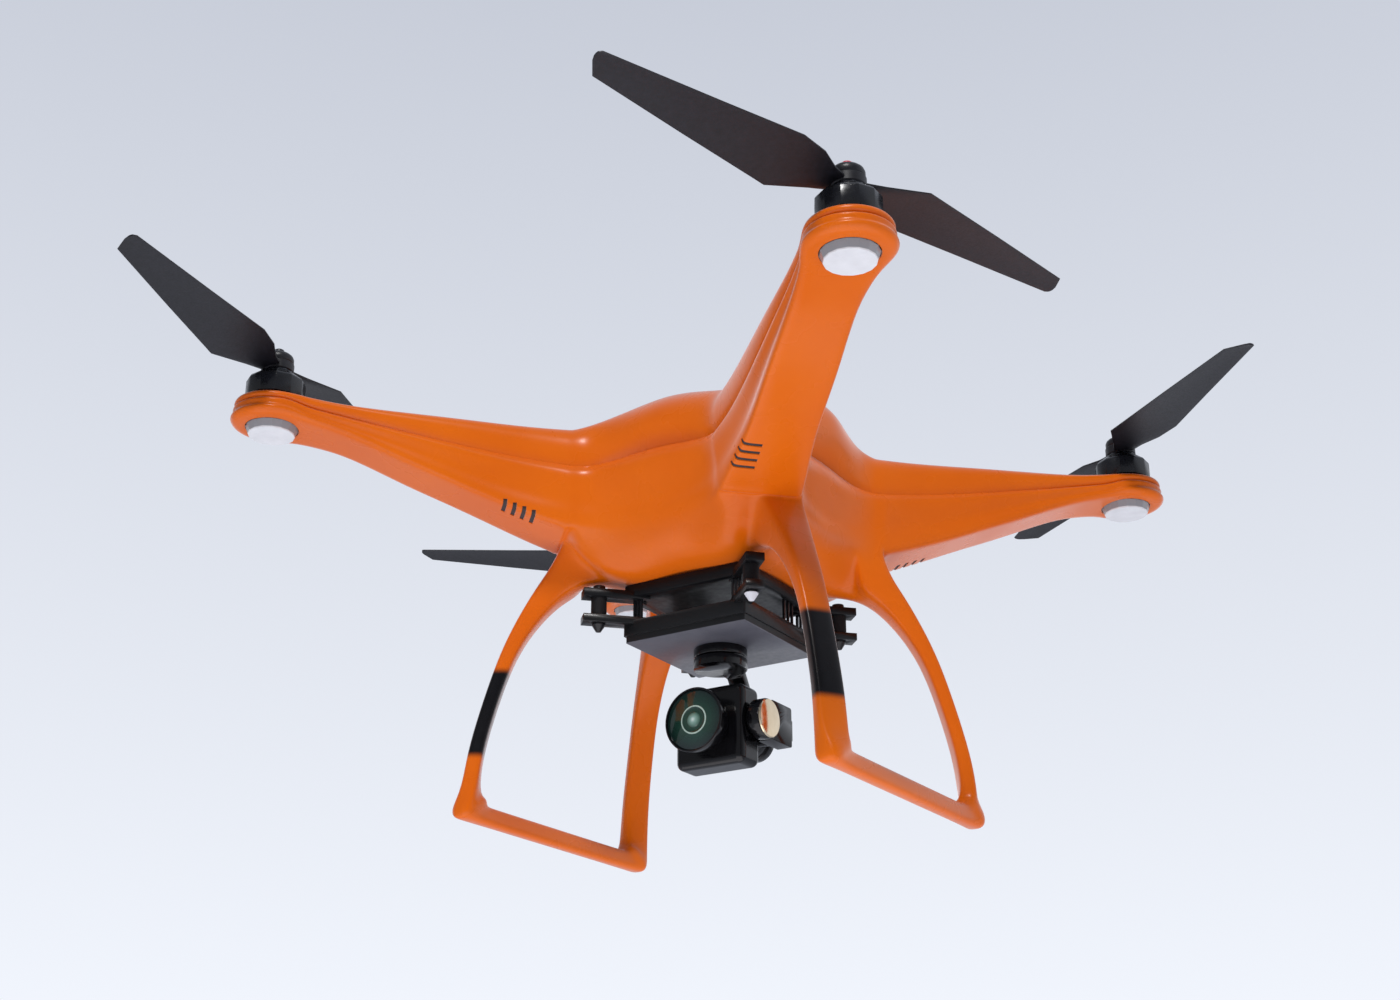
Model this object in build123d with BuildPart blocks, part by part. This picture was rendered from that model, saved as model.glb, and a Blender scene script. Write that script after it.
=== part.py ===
"""Camera quadcopter: a moulded X-shaped body on two landing skids, with a three-axis camera gimbal.

Row frame, in millimetres: +Z is up, the nose and the camera face -Y, so the aircraft's left is +X.
The origin is the centre of the stance, on the ground between the two skid bars.
"""

import os
from math import copysign, cos, radians, sin, sqrt

from build123d import *

os.makedirs("parts", exist_ok=True)

# ---- driving dimensions ----------------------------------------------------------------------
MOTOR_DIAGONAL = 350.0        # across opposite motor shafts
WALL = 2.0                    # moulded shell thickness
SEAM_Z = 147.0                # where the upper shell meets the lower one
FIT_GAP = 0.3                 # clearance between parts that move past each other
WAIST_BAND = 10.0             # above and below the seam the sides are nearly upright

# body rings from the belly up to the crown: height, half width across flats, corner radius
BODY_RINGS = [
    (92, 31, 9), (98, 38, 13), (108, 45, 18), (124, 49, 24), (140, 51, 28),
    (148, 51.5, 30), (155, 49.5, 29), (160.5, 44.5, 27), (165.5, 33, 21), (169, 18.5, 13), (170.5, 7, 5),
]
# arm stations out from the centre: distance, underside height and half width,
# ridge height and half width, top height and half width
ARM_STATIONS = [
    (34, 99, 13, 124, 21, 157, 12),
    (62, 108.5, 14.5, 128, 18.5, 152.6, 11),
    (90, 118.4, 12.4, 133.5, 13.8, 151.8, 10),
    (120, 129, 12, 139.5, 13, 152.6, 10),
    (150, 139.6, 11.2, 145.5, 12.8, 153.4, 10.5),
    (172, 144.6, 11.5, 148.5, 13, 154.6, 11),
]
POD_RADIUS = 16.2
POD_BOTTOM = 144.6
POD_TOP = 154.8

# leg sections from the ground up: height, distance from the centre, radial thickness, tangential width
LEG_STATIONS = [
    (1.5, 93.2, 6.6, 11.5), (10, 92.9, 6.4, 11.4), (25, 92.0, 6.0, 10.8), (42, 88.0, 5.8, 10.4),
    (59, 83.1, 6.0, 10.2), (70, 78.7, 7.4, 10.4), (80, 73.2, 9.4, 11.0), (88.5, 67.0, 13.3, 13.0),
    (95, 61.0, 17.5, 16.0), (104, 54.5, 20.0, 19.0),
]
LEG_BEARING = 35.6            # degrees from the X axis to the leg, seen from above
BAR_X = 75.4
BAR_HALF_LENGTH = 59.5
BAR_SIZE = 7.4
BAR_FLAT = 2.6                # corner radius; what is left between the corners is the flat foot

MOTOR_RADIUS = 10.9
MOTOR_BASE_Z = POD_TOP
BELL_BOTTOM = 156.4
BELL_SHOULDER = 165.3
HUB_Z = 168.0
HUB_RADIUS = 6.2
HUB_TOP = 172.0
SHAFT_RADIUS = 1.5
SHAFT_CLEARANCE = 0.04

# propeller blade outline on the hub's plane: radius, chord position (leading edge positive)
BLADE_OUTLINE = [
    (3, -4.5), (10, -8), (22.5, -15.2), (60, -10.2), (101, -4.4), (103.4, 1.5), (103.5, 4.2),
    (101, 6), (60, 8.8), (29, 11.2), (18, 9), (10, 5),
]
BLADE_PITCH = 5.0
BLADE_THICKNESS = 1.3
BLADE_Z = 168.9
# resting angle of each propeller, counted from +X
PROPELLER_ANGLES = {"front_left": 251.9, "front_right": 283.9, "rear_left": -44.4, "rear_right": 218.0}

CORNERS = {"front_left": (1, -1), "front_right": (-1, -1), "rear_left": (1, 1), "rear_right": (-1, 1)}

BATTERY_HALF_WIDTH = 21.0
BATTERY_Z = (112.0, 144.0)
BATTERY_Y = (-30.0, 44.0)

PLATE_HALF = 27.0             # damper plates, half the side of the square
LOWER_PLATE_Z = (69.2, 77.6)
UPPER_PLATE_Z = (87.4, 92.0)
PIN_XY = 33.7
PIN_RADIUS = 2.6

YAW_RADIUS = 10.3
YAW_BOTTOM = 61.3
PITCH_AXIS_Y = -1.5
GIMBAL_Z = 38.6               # height at which the roll and pitch axes cross
CAMERA_HALF = (14.8, 6.9, 15.3)
CAMERA_CENTRE = (0, -2.5, 37.0)
LENS_FRONT_Y = -19.9
LENS_RADIUS = 12.3


def finish(builder, name):
    """Label a finished piece and write it out."""
    builder.part.label = name
    export_step(builder.part, f"parts/{name}.step")


def motor_xy(corner):
    sx, sy = CORNERS[corner]
    offset = MOTOR_DIAGONAL / 2 / sqrt(2)
    return sx * offset, sy * offset


def arm_plane(corner, distance):
    """Upright plane across an arm: local x is sideways, local y is up."""
    sx, sy = CORNERS[corner]
    ux, uy = sx / sqrt(2), sy / sqrt(2)
    return Plane(origin=(ux * distance, uy * distance, 0), x_dir=(-uy, ux, 0), z_dir=(ux, uy, 0))


def ring_height(height, inset):
    """Height of a body ring: in the cavity, the rings beyond the waist move towards it."""
    if abs(height - SEAM_Z) <= WAIST_BAND:
        return height
    return height + copysign(inset, SEAM_Z - height)


def body_form(inset):
    """The outer form of the shells, or their cavity when inset by the wall."""
    with BuildPart() as form:
        for height, half, corner_radius in BODY_RINGS:
            with BuildSketch(Plane.XY.offset(ring_height(height, inset))):
                RectangleRounded(2 * (half - inset), 2 * (half - inset), max(corner_radius - inset, 2))
        loft()
        for corner in CORNERS:
            for distance, low, low_half, mid, mid_half, high, high_half in ARM_STATIONS:
                outline = [
                    (-low_half, low), (low_half, low), (mid_half, mid), (high_half, high),
                    (-high_half, high), (-mid_half, mid),
                ]
                with BuildSketch(arm_plane(corner, distance)) as section:
                    with BuildLine():
                        Polyline(*outline, close=True)
                    make_face()
                    fillet(section.vertices(), 2.4)
                    if inset:
                        offset(amount=-inset, mode=Mode.REPLACE)
            loft()
            with BuildSketch(Plane.XY.offset(POD_BOTTOM + inset)):
                with Locations(motor_xy(corner)):
                    Circle(POD_RADIUS - inset)
            extrude(amount=POD_TOP - POD_BOTTOM - 2 * inset)
    return form.part


hull = body_form(0)
cavity = body_form(WALL)


# ---- landing skids ---------------------------------------------------------------------------
def leg_plane(corner, height, distance):
    """Level plane at a leg's centre, with local x pointing away from the body."""
    sx, sy = CORNERS[corner]
    ux, uy = sx * cos(radians(LEG_BEARING)), sy * sin(radians(LEG_BEARING))
    return Plane(origin=(ux * distance, uy * distance, height), x_dir=(ux, uy, 0), z_dir=(0, 0, 1))


def make_skid(side):
    """Two legs and the bar they stand on, trimmed where the leg roots meet the body."""
    with BuildPart() as skid:
        for end in ("front", "rear"):
            for height, distance, thickness, width in LEG_STATIONS:
                with BuildSketch(leg_plane(f"{end}_{side}", height, distance)):
                    RectangleRounded(thickness, width, 0.42 * thickness)
            loft()
        bar_x = BAR_X if side == "left" else -BAR_X
        with BuildSketch(Plane(origin=(bar_x, -BAR_HALF_LENGTH, BAR_SIZE / 2), z_dir=(0, 1, 0))):
            RectangleRounded(BAR_SIZE, BAR_SIZE, BAR_FLAT)
        extrude(amount=2 * BAR_HALF_LENGTH)
        add(hull, mode=Mode.SUBTRACT)
        with Locations((bar_x, 0, -5)):
            Box(60, 200, 10, mode=Mode.SUBTRACT)
    return skid


for side in ("left", "right"):
    finish(make_skid(side), f"landing_skid_{side}")

# ---- vents in the arm roots ------------------------------------------------------------------
VENT_DISTANCES = (74.6, 78.2, 81.8, 85.4)
VENT_WIDTH = 1.5
VENT_SPAN = 8.0
VENT_REACH = 4.6              # how far the slots climb the side above the underside's edge


def vent_blocks():
    """Blocks across the edge between the underside and the side nearer to the front or the rear."""
    with BuildPart() as blocks:
        for corner, (sx, sy) in CORNERS.items():
            across = -sx * sy
            for distance in VENT_DISTANCES:
                edge_z = ARM_STATIONS[1][1] + (distance - 62) * 0.354
                plane = arm_plane(corner, distance)
                with BuildSketch(plane.offset(-VENT_WIDTH / 2)):
                    with Locations((-across * 11.0, edge_z + VENT_REACH / 2 - 0.9)):
                        Rectangle(VENT_SPAN, VENT_REACH + 1.8)
                extrude(amount=VENT_WIDTH)
    return blocks.part


slots = vent_blocks()
with BuildPart() as vent_inserts:
    add(hull)
    add(cavity, mode=Mode.SUBTRACT)
    add(slots, mode=Mode.INTERSECT)
finish(vent_inserts, "vent_inserts")

# ---- shells ----------------------------------------------------------------------------------
LED_SEAT_RADIUS = 9.4
LED_RECESS_RADIUS = 10.2      # the arm's underside is cut back round the light
BOSS_RADIUS = 3.4             # bearing boss through the top of each pod
MOTOR_SCREW_CIRCLE = 12.0
MOTOR_SCREW_RADIUS = 0.8
WINDOW_GAP = 0.85             # between the battery's cover and the opening it closes
REAR_Y = 45.0


def rear_window(clearance, start):
    """Block through the rear wall where the battery slides in."""
    with BuildPart() as window:
        low, high = BATTERY_Z
        with BuildSketch(Plane.XZ.offset(-start)):
            with Locations((0, (low + high) / 2)):
                RectangleRounded(
                    2 * BATTERY_HALF_WIDTH + 2 * clearance, high - low + 2 * clearance, 4 + clearance)
        extrude(amount=-(REAR_Y + 20 - start))
    return window.part


with BuildPart() as lower_shell:
    add(hull)
    split(bisect_by=Plane.XY.offset(SEAM_Z), keep=Keep.BOTTOM)
    add(cavity, mode=Mode.SUBTRACT)
    add(slots, mode=Mode.SUBTRACT)
    add(rear_window(WINDOW_GAP, REAR_Y - 8), mode=Mode.SUBTRACT)
    for corner in CORNERS:
        with BuildSketch(Plane.XY.offset(POD_BOTTOM)):
            with Locations(motor_xy(corner)):
                Circle(LED_SEAT_RADIUS)
        extrude(amount=2 * WALL, mode=Mode.SUBTRACT)
        with BuildSketch(Plane.XY.offset(POD_BOTTOM)):
            with Locations(motor_xy(corner)):
                Circle(LED_RECESS_RADIUS)
        extrude(amount=-2 * WALL, mode=Mode.SUBTRACT)
finish(lower_shell, "lower_shell")

with BuildPart() as upper_shell:
    add(hull)
    split(bisect_by=Plane.XY.offset(SEAM_Z), keep=Keep.TOP)
    add(cavity, mode=Mode.SUBTRACT)
    for corner in CORNERS:
        with BuildSketch(Plane.XY.offset(POD_TOP - 4)):
            with Locations(motor_xy(corner)):
                Circle(BOSS_RADIUS)
                with PolarLocations(MOTOR_SCREW_CIRCLE / 2, 4, start_angle=45):
                    Circle(MOTOR_SCREW_RADIUS)
        extrude(amount=8, mode=Mode.SUBTRACT)
finish(upper_shell, "upper_shell")

# ---- motors, bearings, bells, propellers and their nuts ---------------------------------------
STATOR_RADIUS = 8.6
STATOR_TOP = 164.6
BEARING_OUTER = 2.5
BEARING_DEPTH = 2.5
BEARING_Z = (151.8, 161.9)
BELL_INNER = 9.5


def make_stator(corner):
    """Base plate, bearing boss and the wound core that stays with the arm."""
    with BuildPart() as stator:
        with BuildSketch(Plane.XY.offset(MOTOR_BASE_Z)):
            with Locations(motor_xy(corner)):
                Circle(9.3)
        extrude(amount=0.9)
        with BuildSketch(Plane.XY.offset(MOTOR_BASE_Z + 0.9)):
            with Locations(motor_xy(corner)):
                Circle(STATOR_RADIUS)
                with PolarLocations(STATOR_RADIUS - 0.9, 12):
                    Rectangle(3.4, 1.3, mode=Mode.SUBTRACT)
        extrude(amount=STATOR_TOP - MOTOR_BASE_Z - 0.9)
        with BuildSketch(Plane.XY.offset(BEARING_Z[0] - 0.4)):
            with Locations(motor_xy(corner)):
                Circle(BOSS_RADIUS)
        extrude(amount=MOTOR_BASE_Z - BEARING_Z[0] + 0.4)
        with BuildSketch(Plane.XY.offset(BEARING_Z[0] - 1)):
            with Locations(motor_xy(corner)):
                Circle(BEARING_OUTER)
        extrude(amount=STATOR_TOP - BEARING_Z[0] + 2, mode=Mode.SUBTRACT)
        with BuildSketch(Plane.XY.offset(MOTOR_BASE_Z - 0.5)):
            with Locations(motor_xy(corner)):
                with PolarLocations(MOTOR_SCREW_CIRCLE / 2, 4, start_angle=45):
                    Circle(MOTOR_SCREW_RADIUS)
        extrude(amount=3.2, mode=Mode.SUBTRACT)
    return stator


def make_bearings(corner):
    with BuildPart() as bearings:
        for height in BEARING_Z:
            with BuildSketch(Plane.XY.offset(height)):
                with Locations(motor_xy(corner)):
                    Circle(BEARING_OUTER)
                    Circle(SHAFT_RADIUS + SHAFT_CLEARANCE, mode=Mode.SUBTRACT)
            extrude(amount=BEARING_DEPTH)
    return bearings


def make_bell(corner):
    """Rotor can with a coned shoulder, six cooling slots and the shaft down its middle."""
    with BuildPart() as bell:
        axis_plane = Plane(origin=(*motor_xy(corner), 0), x_dir=(1, 0, 0), z_dir=(0, -1, 0))
        with BuildSketch(axis_plane):
            with BuildLine():
                Polyline(
                    (0, HUB_Z), (HUB_RADIUS, HUB_Z), (MOTOR_RADIUS, BELL_SHOULDER + 0.4),
                    (MOTOR_RADIUS, BELL_BOTTOM), (BELL_INNER, BELL_BOTTOM),
                    (BELL_INNER, BELL_SHOULDER), (SHAFT_RADIUS, BELL_SHOULDER),
                    (SHAFT_RADIUS, BEARING_Z[0]), (0, BEARING_Z[0]), close=True)
            make_face()
        revolve(axis=Axis((*motor_xy(corner), 0), (0, 0, 1)))
        with BuildSketch(Plane.XY.offset(BELL_SHOULDER - 1)):
            with Locations(motor_xy(corner)):
                with PolarLocations(7.6, 6, start_angle=30):
                    SlotOverall(3.6, 1.7)
        extrude(amount=4, mode=Mode.SUBTRACT)
        with BuildSketch(Plane.XY.offset(HUB_Z)):
            with Locations(motor_xy(corner)):
                Circle(SHAFT_RADIUS)
        extrude(amount=HUB_TOP - HUB_Z + 1.5)
    return bell


def make_propeller(corner):
    """Two flat blades set at their pitch on a round hub."""
    centre = motor_xy(corner)
    with BuildPart() as propeller:
        with BuildSketch(Plane.XY.offset(HUB_Z)):
            with Locations(centre):
                Circle(HUB_RADIUS)
                Circle(SHAFT_RADIUS, mode=Mode.SUBTRACT)
        extrude(amount=HUB_TOP - HUB_Z)
        for half_turn in (0, 180):
            angle = radians(PROPELLER_ANGLES[corner] + half_turn)
            outward = Vector(cos(angle), sin(angle), 0)
            chord = Vector(-sin(angle) * cos(radians(BLADE_PITCH)), cos(angle) * cos(radians(BLADE_PITCH)),
                           sin(radians(BLADE_PITCH)))
            blade_plane = Plane(origin=(*centre, BLADE_Z), x_dir=outward, z_dir=outward.cross(chord))
            with BuildSketch(blade_plane):
                with BuildLine():
                    Polyline(*BLADE_OUTLINE, close=True)
                make_face()
            extrude(amount=BLADE_THICKNESS)
        with BuildSketch(Plane.XY.offset(HUB_Z - 6)):
            with Locations(centre):
                Circle(SHAFT_RADIUS)
        extrude(amount=20, mode=Mode.SUBTRACT)
        with Locations((*centre, HUB_Z - 5)):
            Box(30, 30, 10, mode=Mode.SUBTRACT)
    return propeller


def make_prop_nut(corner):
    """Domed nut that holds the propeller, with a small coloured tip to tell its hand."""
    with BuildPart() as nut:
        axis_plane = Plane(origin=(*motor_xy(corner), 0), x_dir=(1, 0, 0), z_dir=(0, -1, 0))
        with BuildSketch(axis_plane):
            with BuildLine():
                Line((0, HUB_TOP), (HUB_RADIUS - 0.3, HUB_TOP))
                ThreePointArc((HUB_RADIUS - 0.3, HUB_TOP), (4.4, 175), (2.0, 176.4))
                Line((2.0, 176.4), (2.0, 177.4))
                ThreePointArc((2.0, 177.4), (1.7, 177.96), (1.2, 178.2))
                Polyline((1.2, 178.2), (0, 178.2), (0, HUB_TOP))
            make_face()
        revolve(axis=Axis((*motor_xy(corner), 0), (0, 0, 1)))
        with BuildSketch(Plane.XY.offset(HUB_TOP - 1)):
            with Locations(motor_xy(corner)):
                Circle(SHAFT_RADIUS)
        extrude(amount=2.5, mode=Mode.SUBTRACT)
    return nut


for corner in CORNERS:
    finish(make_stator(corner), f"motor_stator_{corner}")
    finish(make_bearings(corner), f"motor_bearings_{corner}")
    finish(make_bell(corner), f"motor_bell_{corner}")
    finish(make_propeller(corner), f"propeller_{corner}")
    finish(make_prop_nut(corner), f"prop_nut_{corner}")

SCREW_HEAD_RADIUS = 1.6
SCREW_HEAD_HEIGHT = 1.4
SCREW_REACH = 2.4             # thread above the pod's top, into the stator
SCREW_STEPS = (
    (SCREW_HEAD_RADIUS, POD_TOP - WALL - SCREW_HEAD_HEIGHT, POD_TOP - WALL),
    (MOTOR_SCREW_RADIUS, POD_TOP - WALL, POD_TOP + SCREW_REACH),
)
with BuildPart() as motor_screws:
    for corner in CORNERS:
        for radius, bottom, top in SCREW_STEPS:
            with BuildSketch(Plane.XY.offset(bottom)):
                with Locations(motor_xy(corner)):
                    with PolarLocations(MOTOR_SCREW_CIRCLE / 2, 4, start_angle=45):
                        Circle(radius)
            extrude(amount=top - bottom)
finish(motor_screws, "motor_screws")

# ---- arm lights and speed controllers ---------------------------------------------------------
LENS_TOP_RADIUS = 9.9
LENS_TIP_RADIUS = 8.7
LENS_BOTTOM = 141.5
LENS_SPIGOT_TOP = 147.6
LENS_SIDES = 16
CONTROLLER_DISTANCE = 104.0
CONTROLLER_Z = 138.0


def make_led_lens(corner):
    """Clear faceted cup, seated in the underside of the pod."""
    with BuildPart() as lens:
        with BuildSketch(Plane.XY.offset(LENS_BOTTOM)):
            with Locations(motor_xy(corner)):
                RegularPolygon(LENS_TIP_RADIUS, LENS_SIDES)
        with BuildSketch(Plane.XY.offset(POD_BOTTOM)):
            with Locations(motor_xy(corner)):
                RegularPolygon(LENS_TOP_RADIUS, LENS_SIDES)
        loft()
        with BuildSketch(Plane.XY.offset(POD_BOTTOM)):
            with Locations(motor_xy(corner)):
                Circle(LED_SEAT_RADIUS)
        extrude(amount=LENS_SPIGOT_TOP - POD_BOTTOM)
        with BuildSketch(Plane.XY.offset(LENS_BOTTOM + 1)):
            with Locations(motor_xy(corner)):
                Circle(LENS_TIP_RADIUS - 1.6)
        extrude(amount=LENS_SPIGOT_TOP - LENS_BOTTOM, mode=Mode.SUBTRACT)
    return lens


def make_led_board(corner):
    with BuildPart() as board:
        with BuildSketch(Plane.XY.offset(LENS_SPIGOT_TOP)):
            with Locations(motor_xy(corner)):
                Circle(9.0)
        extrude(amount=1.0)
        with BuildSketch(Plane.XY.offset(LENS_SPIGOT_TOP)):
            with Locations(motor_xy(corner)):
                with GridLocations(5, 5, 2, 2):
                    Rectangle(2.6, 2.6)
        extrude(amount=-0.8)
    return board


def make_speed_controller(corner):
    """Board with its row of switching chips, lying along the inside of the arm."""
    sx, sy = CORNERS[corner]
    offset = CONTROLLER_DISTANCE / sqrt(2)
    centre = (sx * offset, sy * offset, CONTROLLER_Z)
    length_dir = (sx / sqrt(2), sy / sqrt(2), 0)
    board_plane = Plane(origin=centre, x_dir=length_dir, z_dir=(0, 0, 1))
    with BuildPart() as controller:
        with BuildSketch(board_plane):
            Rectangle(38, 15)
        extrude(amount=1.2)
        with BuildSketch(board_plane.offset(1.2)):
            with GridLocations(8, 7, 4, 2):
                Rectangle(6, 5)
        extrude(amount=1.1)
    return controller


for corner in CORNERS:
    finish(make_led_lens(corner), f"led_lens_{corner}")
    finish(make_led_board(corner), f"led_board_{corner}")
    finish(make_speed_controller(corner), f"speed_controller_{corner}")

# ---- electronics in the body -------------------------------------------------------------------
MAIN_BOARD_Z = 148.5
with BuildPart() as main_board:
    with BuildSketch(Plane.XY.offset(MAIN_BOARD_Z)):
        RectangleRounded(58, 58, 4)
        with GridLocations(50, 50, 2, 2):
            Circle(1.6, mode=Mode.SUBTRACT)
    extrude(amount=1.6)
    with BuildSketch(Plane.XY.offset(MAIN_BOARD_Z + 1.6)):
        with Locations((-12, 8), (14, 12), (12, -14)):
            Rectangle(12, 12)
        with Locations((-16, -16)):
            Rectangle(8, 16)
    extrude(amount=1.8)
finish(main_board, "main_board")

with BuildPart() as satellite_receiver:
    with BuildSketch(Plane.XY.offset(MAIN_BOARD_Z + 6)):
        RectangleRounded(36, 36, 3)
    extrude(amount=2)
    with BuildSketch(Plane.XY.offset(MAIN_BOARD_Z + 8)):
        RectangleRounded(25, 25, 1.5)
    extrude(amount=5)
finish(satellite_receiver, "satellite_receiver")

# ---- battery drawer ----------------------------------------------------------------------------
BUTTON_RADIUS = 5.0
BUTTON_X = 10.0
BUTTON_Z = (BATTERY_Z[0] + BATTERY_Z[1]) / 2
BUTTON_TRAVEL = 1.0
BUTTON_DEPTH = 3.2
COVER_SKIN = 1.2              # left behind the button and the charge lights
CHARGE_LIGHT_X = (-13, -8.5, -4)

with BuildPart() as battery_cover:
    add(hull)
    add(rear_window(0, REAR_Y), mode=Mode.INTERSECT)
    with BuildSketch(Plane.XZ.offset(-REAR_Y - COVER_SKIN)):
        with Locations((BUTTON_X, BUTTON_Z)):
            Circle(BUTTON_RADIUS + FIT_GAP)
    extrude(amount=-20, mode=Mode.SUBTRACT)
    with BuildSketch(Plane.XZ.offset(-REAR_Y - COVER_SKIN)):
        with Locations(*[(x, BUTTON_Z) for x in CHARGE_LIGHT_X]):
            Circle(1.0)
    extrude(amount=-20, mode=Mode.SUBTRACT)
finish(battery_cover, "battery_cover")

with BuildPart() as battery_lights:
    add(hull)
    with BuildSketch(Plane.XZ.offset(-REAR_Y - COVER_SKIN)):
        with Locations(*[(x, BUTTON_Z) for x in CHARGE_LIGHT_X]):
            Circle(1.0)
    extrude(amount=-20, mode=Mode.INTERSECT)
finish(battery_lights, "battery_lights")

with BuildPart() as battery_pack:
    low, high = BATTERY_Z
    with BuildSketch(Plane.XZ.offset(-REAR_Y)):
        with Locations((0, (low + high) / 2)):
            RectangleRounded(2 * BATTERY_HALF_WIDTH, high - low, 4)
    extrude(amount=REAR_Y - BATTERY_Y[0])
finish(battery_pack, "battery_pack")

with BuildPart() as power_button:
    with BuildSketch(Plane.XZ.offset(-REAR_Y - COVER_SKIN - BUTTON_TRAVEL - FIT_GAP)):
        with Locations((BUTTON_X, BUTTON_Z)):
            Circle(BUTTON_RADIUS)
    extrude(amount=-BUTTON_DEPTH)
    fillet(power_button.edges().group_by(Axis.Y)[-1], 0.5)
finish(power_button, "power_button")

# ---- damper plates under the belly -------------------------------------------------------------
EAR_WIDTH = 7.0
EAR_LENGTH = 54.0             # from the centre to the outer end of an ear, along the diagonal
EAR_LAYERS = {"upper": (86.4, 89.4), "lower": (76.2, 79.0)}
POST_SIZE = 0.9


def ear_outline(level):
    """Strips that reach past the plate's corners to carry the dampers."""
    with BuildSketch(Plane.XY.offset(EAR_LAYERS[level][0])) as outline:
        for angle in (45, 135):
            Rectangle(2 * EAR_LENGTH, EAR_WIDTH, rotation=angle)
        with GridLocations(2 * PIN_XY, 2 * PIN_XY, 2, 2):
            Circle(PIN_RADIUS - 0.8, mode=Mode.SUBTRACT)
    return outline.sketch


EARS = {level: ear_outline(level) for level in EAR_LAYERS}
EAR_THICKNESS = {level: top - bottom for level, (bottom, top) in EAR_LAYERS.items()}

with BuildPart() as damper_upper_plate:
    with BuildSketch(Plane.XY.offset(UPPER_PLATE_Z[0])):
        RectangleRounded(2 * PLATE_HALF, 2 * PLATE_HALF, 1.5)
    extrude(amount=UPPER_PLATE_Z[1] - UPPER_PLATE_Z[0])
    extrude(EARS["upper"], amount=EAR_THICKNESS["upper"])
    with BuildSketch(Plane.XY.offset(UPPER_PLATE_Z[0] - 2)):
        Rectangle(2 * PLATE_HALF - 9, 2 * PLATE_HALF - 9)
    extrude(amount=2, mode=Mode.SUBTRACT)
finish(damper_upper_plate, "damper_upper_plate")

with BuildPart() as damper_lower_plate:
    low, high = LOWER_PLATE_Z
    with BuildSketch(Plane.XY.offset(low + 2.6)):
        RectangleRounded(2 * PLATE_HALF, 2 * PLATE_HALF, 1.0)
    extrude(amount=high - low - 2.6)
    with BuildSketch(Plane.XY.offset(low)):
        RectangleRounded(2 * PLATE_HALF - 1.6, 2 * PLATE_HALF - 1.6, 0.6)
    extrude(amount=2.6)
    extrude(EARS["lower"], amount=EAR_THICKNESS["lower"])
finish(damper_lower_plate, "damper_lower_plate")

with BuildPart() as rubber_dampers:
    low, high = EAR_LAYERS["lower"][1], EAR_LAYERS["upper"][0]
    with BuildSketch(Plane.XY.offset(low)):
        with GridLocations(2 * PIN_XY, 2 * PIN_XY, 2, 2):
            Circle(PIN_RADIUS + 0.4)
            Circle(PIN_RADIUS - 0.8, mode=Mode.SUBTRACT)
    extrude(amount=high - low)
finish(rubber_dampers, "rubber_dampers")

with BuildPart() as damper_pins:
    for sx, sy in CORNERS.values():
        pin_plane = Plane(origin=(sx * PIN_XY, sy * PIN_XY, 0), x_dir=(1, 0, 0), z_dir=(0, -1, 0))
        with BuildSketch(pin_plane):
            with BuildLine():
                Polyline(
                    (0, 72.7), (1.0, 72.9), (PIN_RADIUS, 75.4), (PIN_RADIUS, EAR_LAYERS["lower"][0]),
                    (PIN_RADIUS - 0.8, EAR_LAYERS["lower"][0]), (PIN_RADIUS - 0.8, EAR_LAYERS["upper"][1]),
                    (PIN_RADIUS, EAR_LAYERS["upper"][1]), (PIN_RADIUS - 0.3, 91.1), (0, 91.1), close=True)
            make_face()
        revolve(axis=Axis((sx * PIN_XY, sy * PIN_XY, 0), (0, 0, 1)))
finish(damper_pins, "damper_pins")

with BuildPart() as plate_posts:
    with BuildSketch(Plane.XY.offset(LOWER_PLATE_Z[1])):
        with Locations(*[(sx * x, sy * 24.4) for sx, sy in CORNERS.values() for x in (20.4, 21.9, 23.4)]):
            Rectangle(POST_SIZE, POST_SIZE)
        with Locations(*[(sx * 24.4, y) for sx in (-1, 1) for y in (6.8, 9.8, 12.8)]):
            Rectangle(POST_SIZE, POST_SIZE)
    extrude(amount=UPPER_PLATE_Z[0] - LOWER_PLATE_Z[1])
    for level, ears in EARS.items():
        extrude(ears, amount=EAR_THICKNESS[level], mode=Mode.SUBTRACT)
finish(plate_posts, "plate_posts")

# ---- gimbal ------------------------------------------------------------------------------------
YAW_SPLIT_Z = 65.4
ROLL_RADIUS = 7.0
ROLL_MOTOR_Y = (19.2, 24.6)
ROLL_PLATE_Y = (16.1, 18.9)
ROLL_PLATE_Z = (34.0, 43.2)
BLOCK_X = (15.3, 21.2)
BLOCK_Y = (1.8, 16.9)
BLOCK_Z = (31.4, 46.8)
PITCH_RADIUS = 7.6
PITCH_MOTOR_END = 21.6

with BuildPart() as yaw_motor:
    with BuildSketch(Plane.XY.offset(YAW_SPLIT_Z)):
        Circle(YAW_RADIUS)
    extrude(amount=LOWER_PLATE_Z[0] - YAW_SPLIT_Z)
finish(yaw_motor, "yaw_motor")

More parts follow.
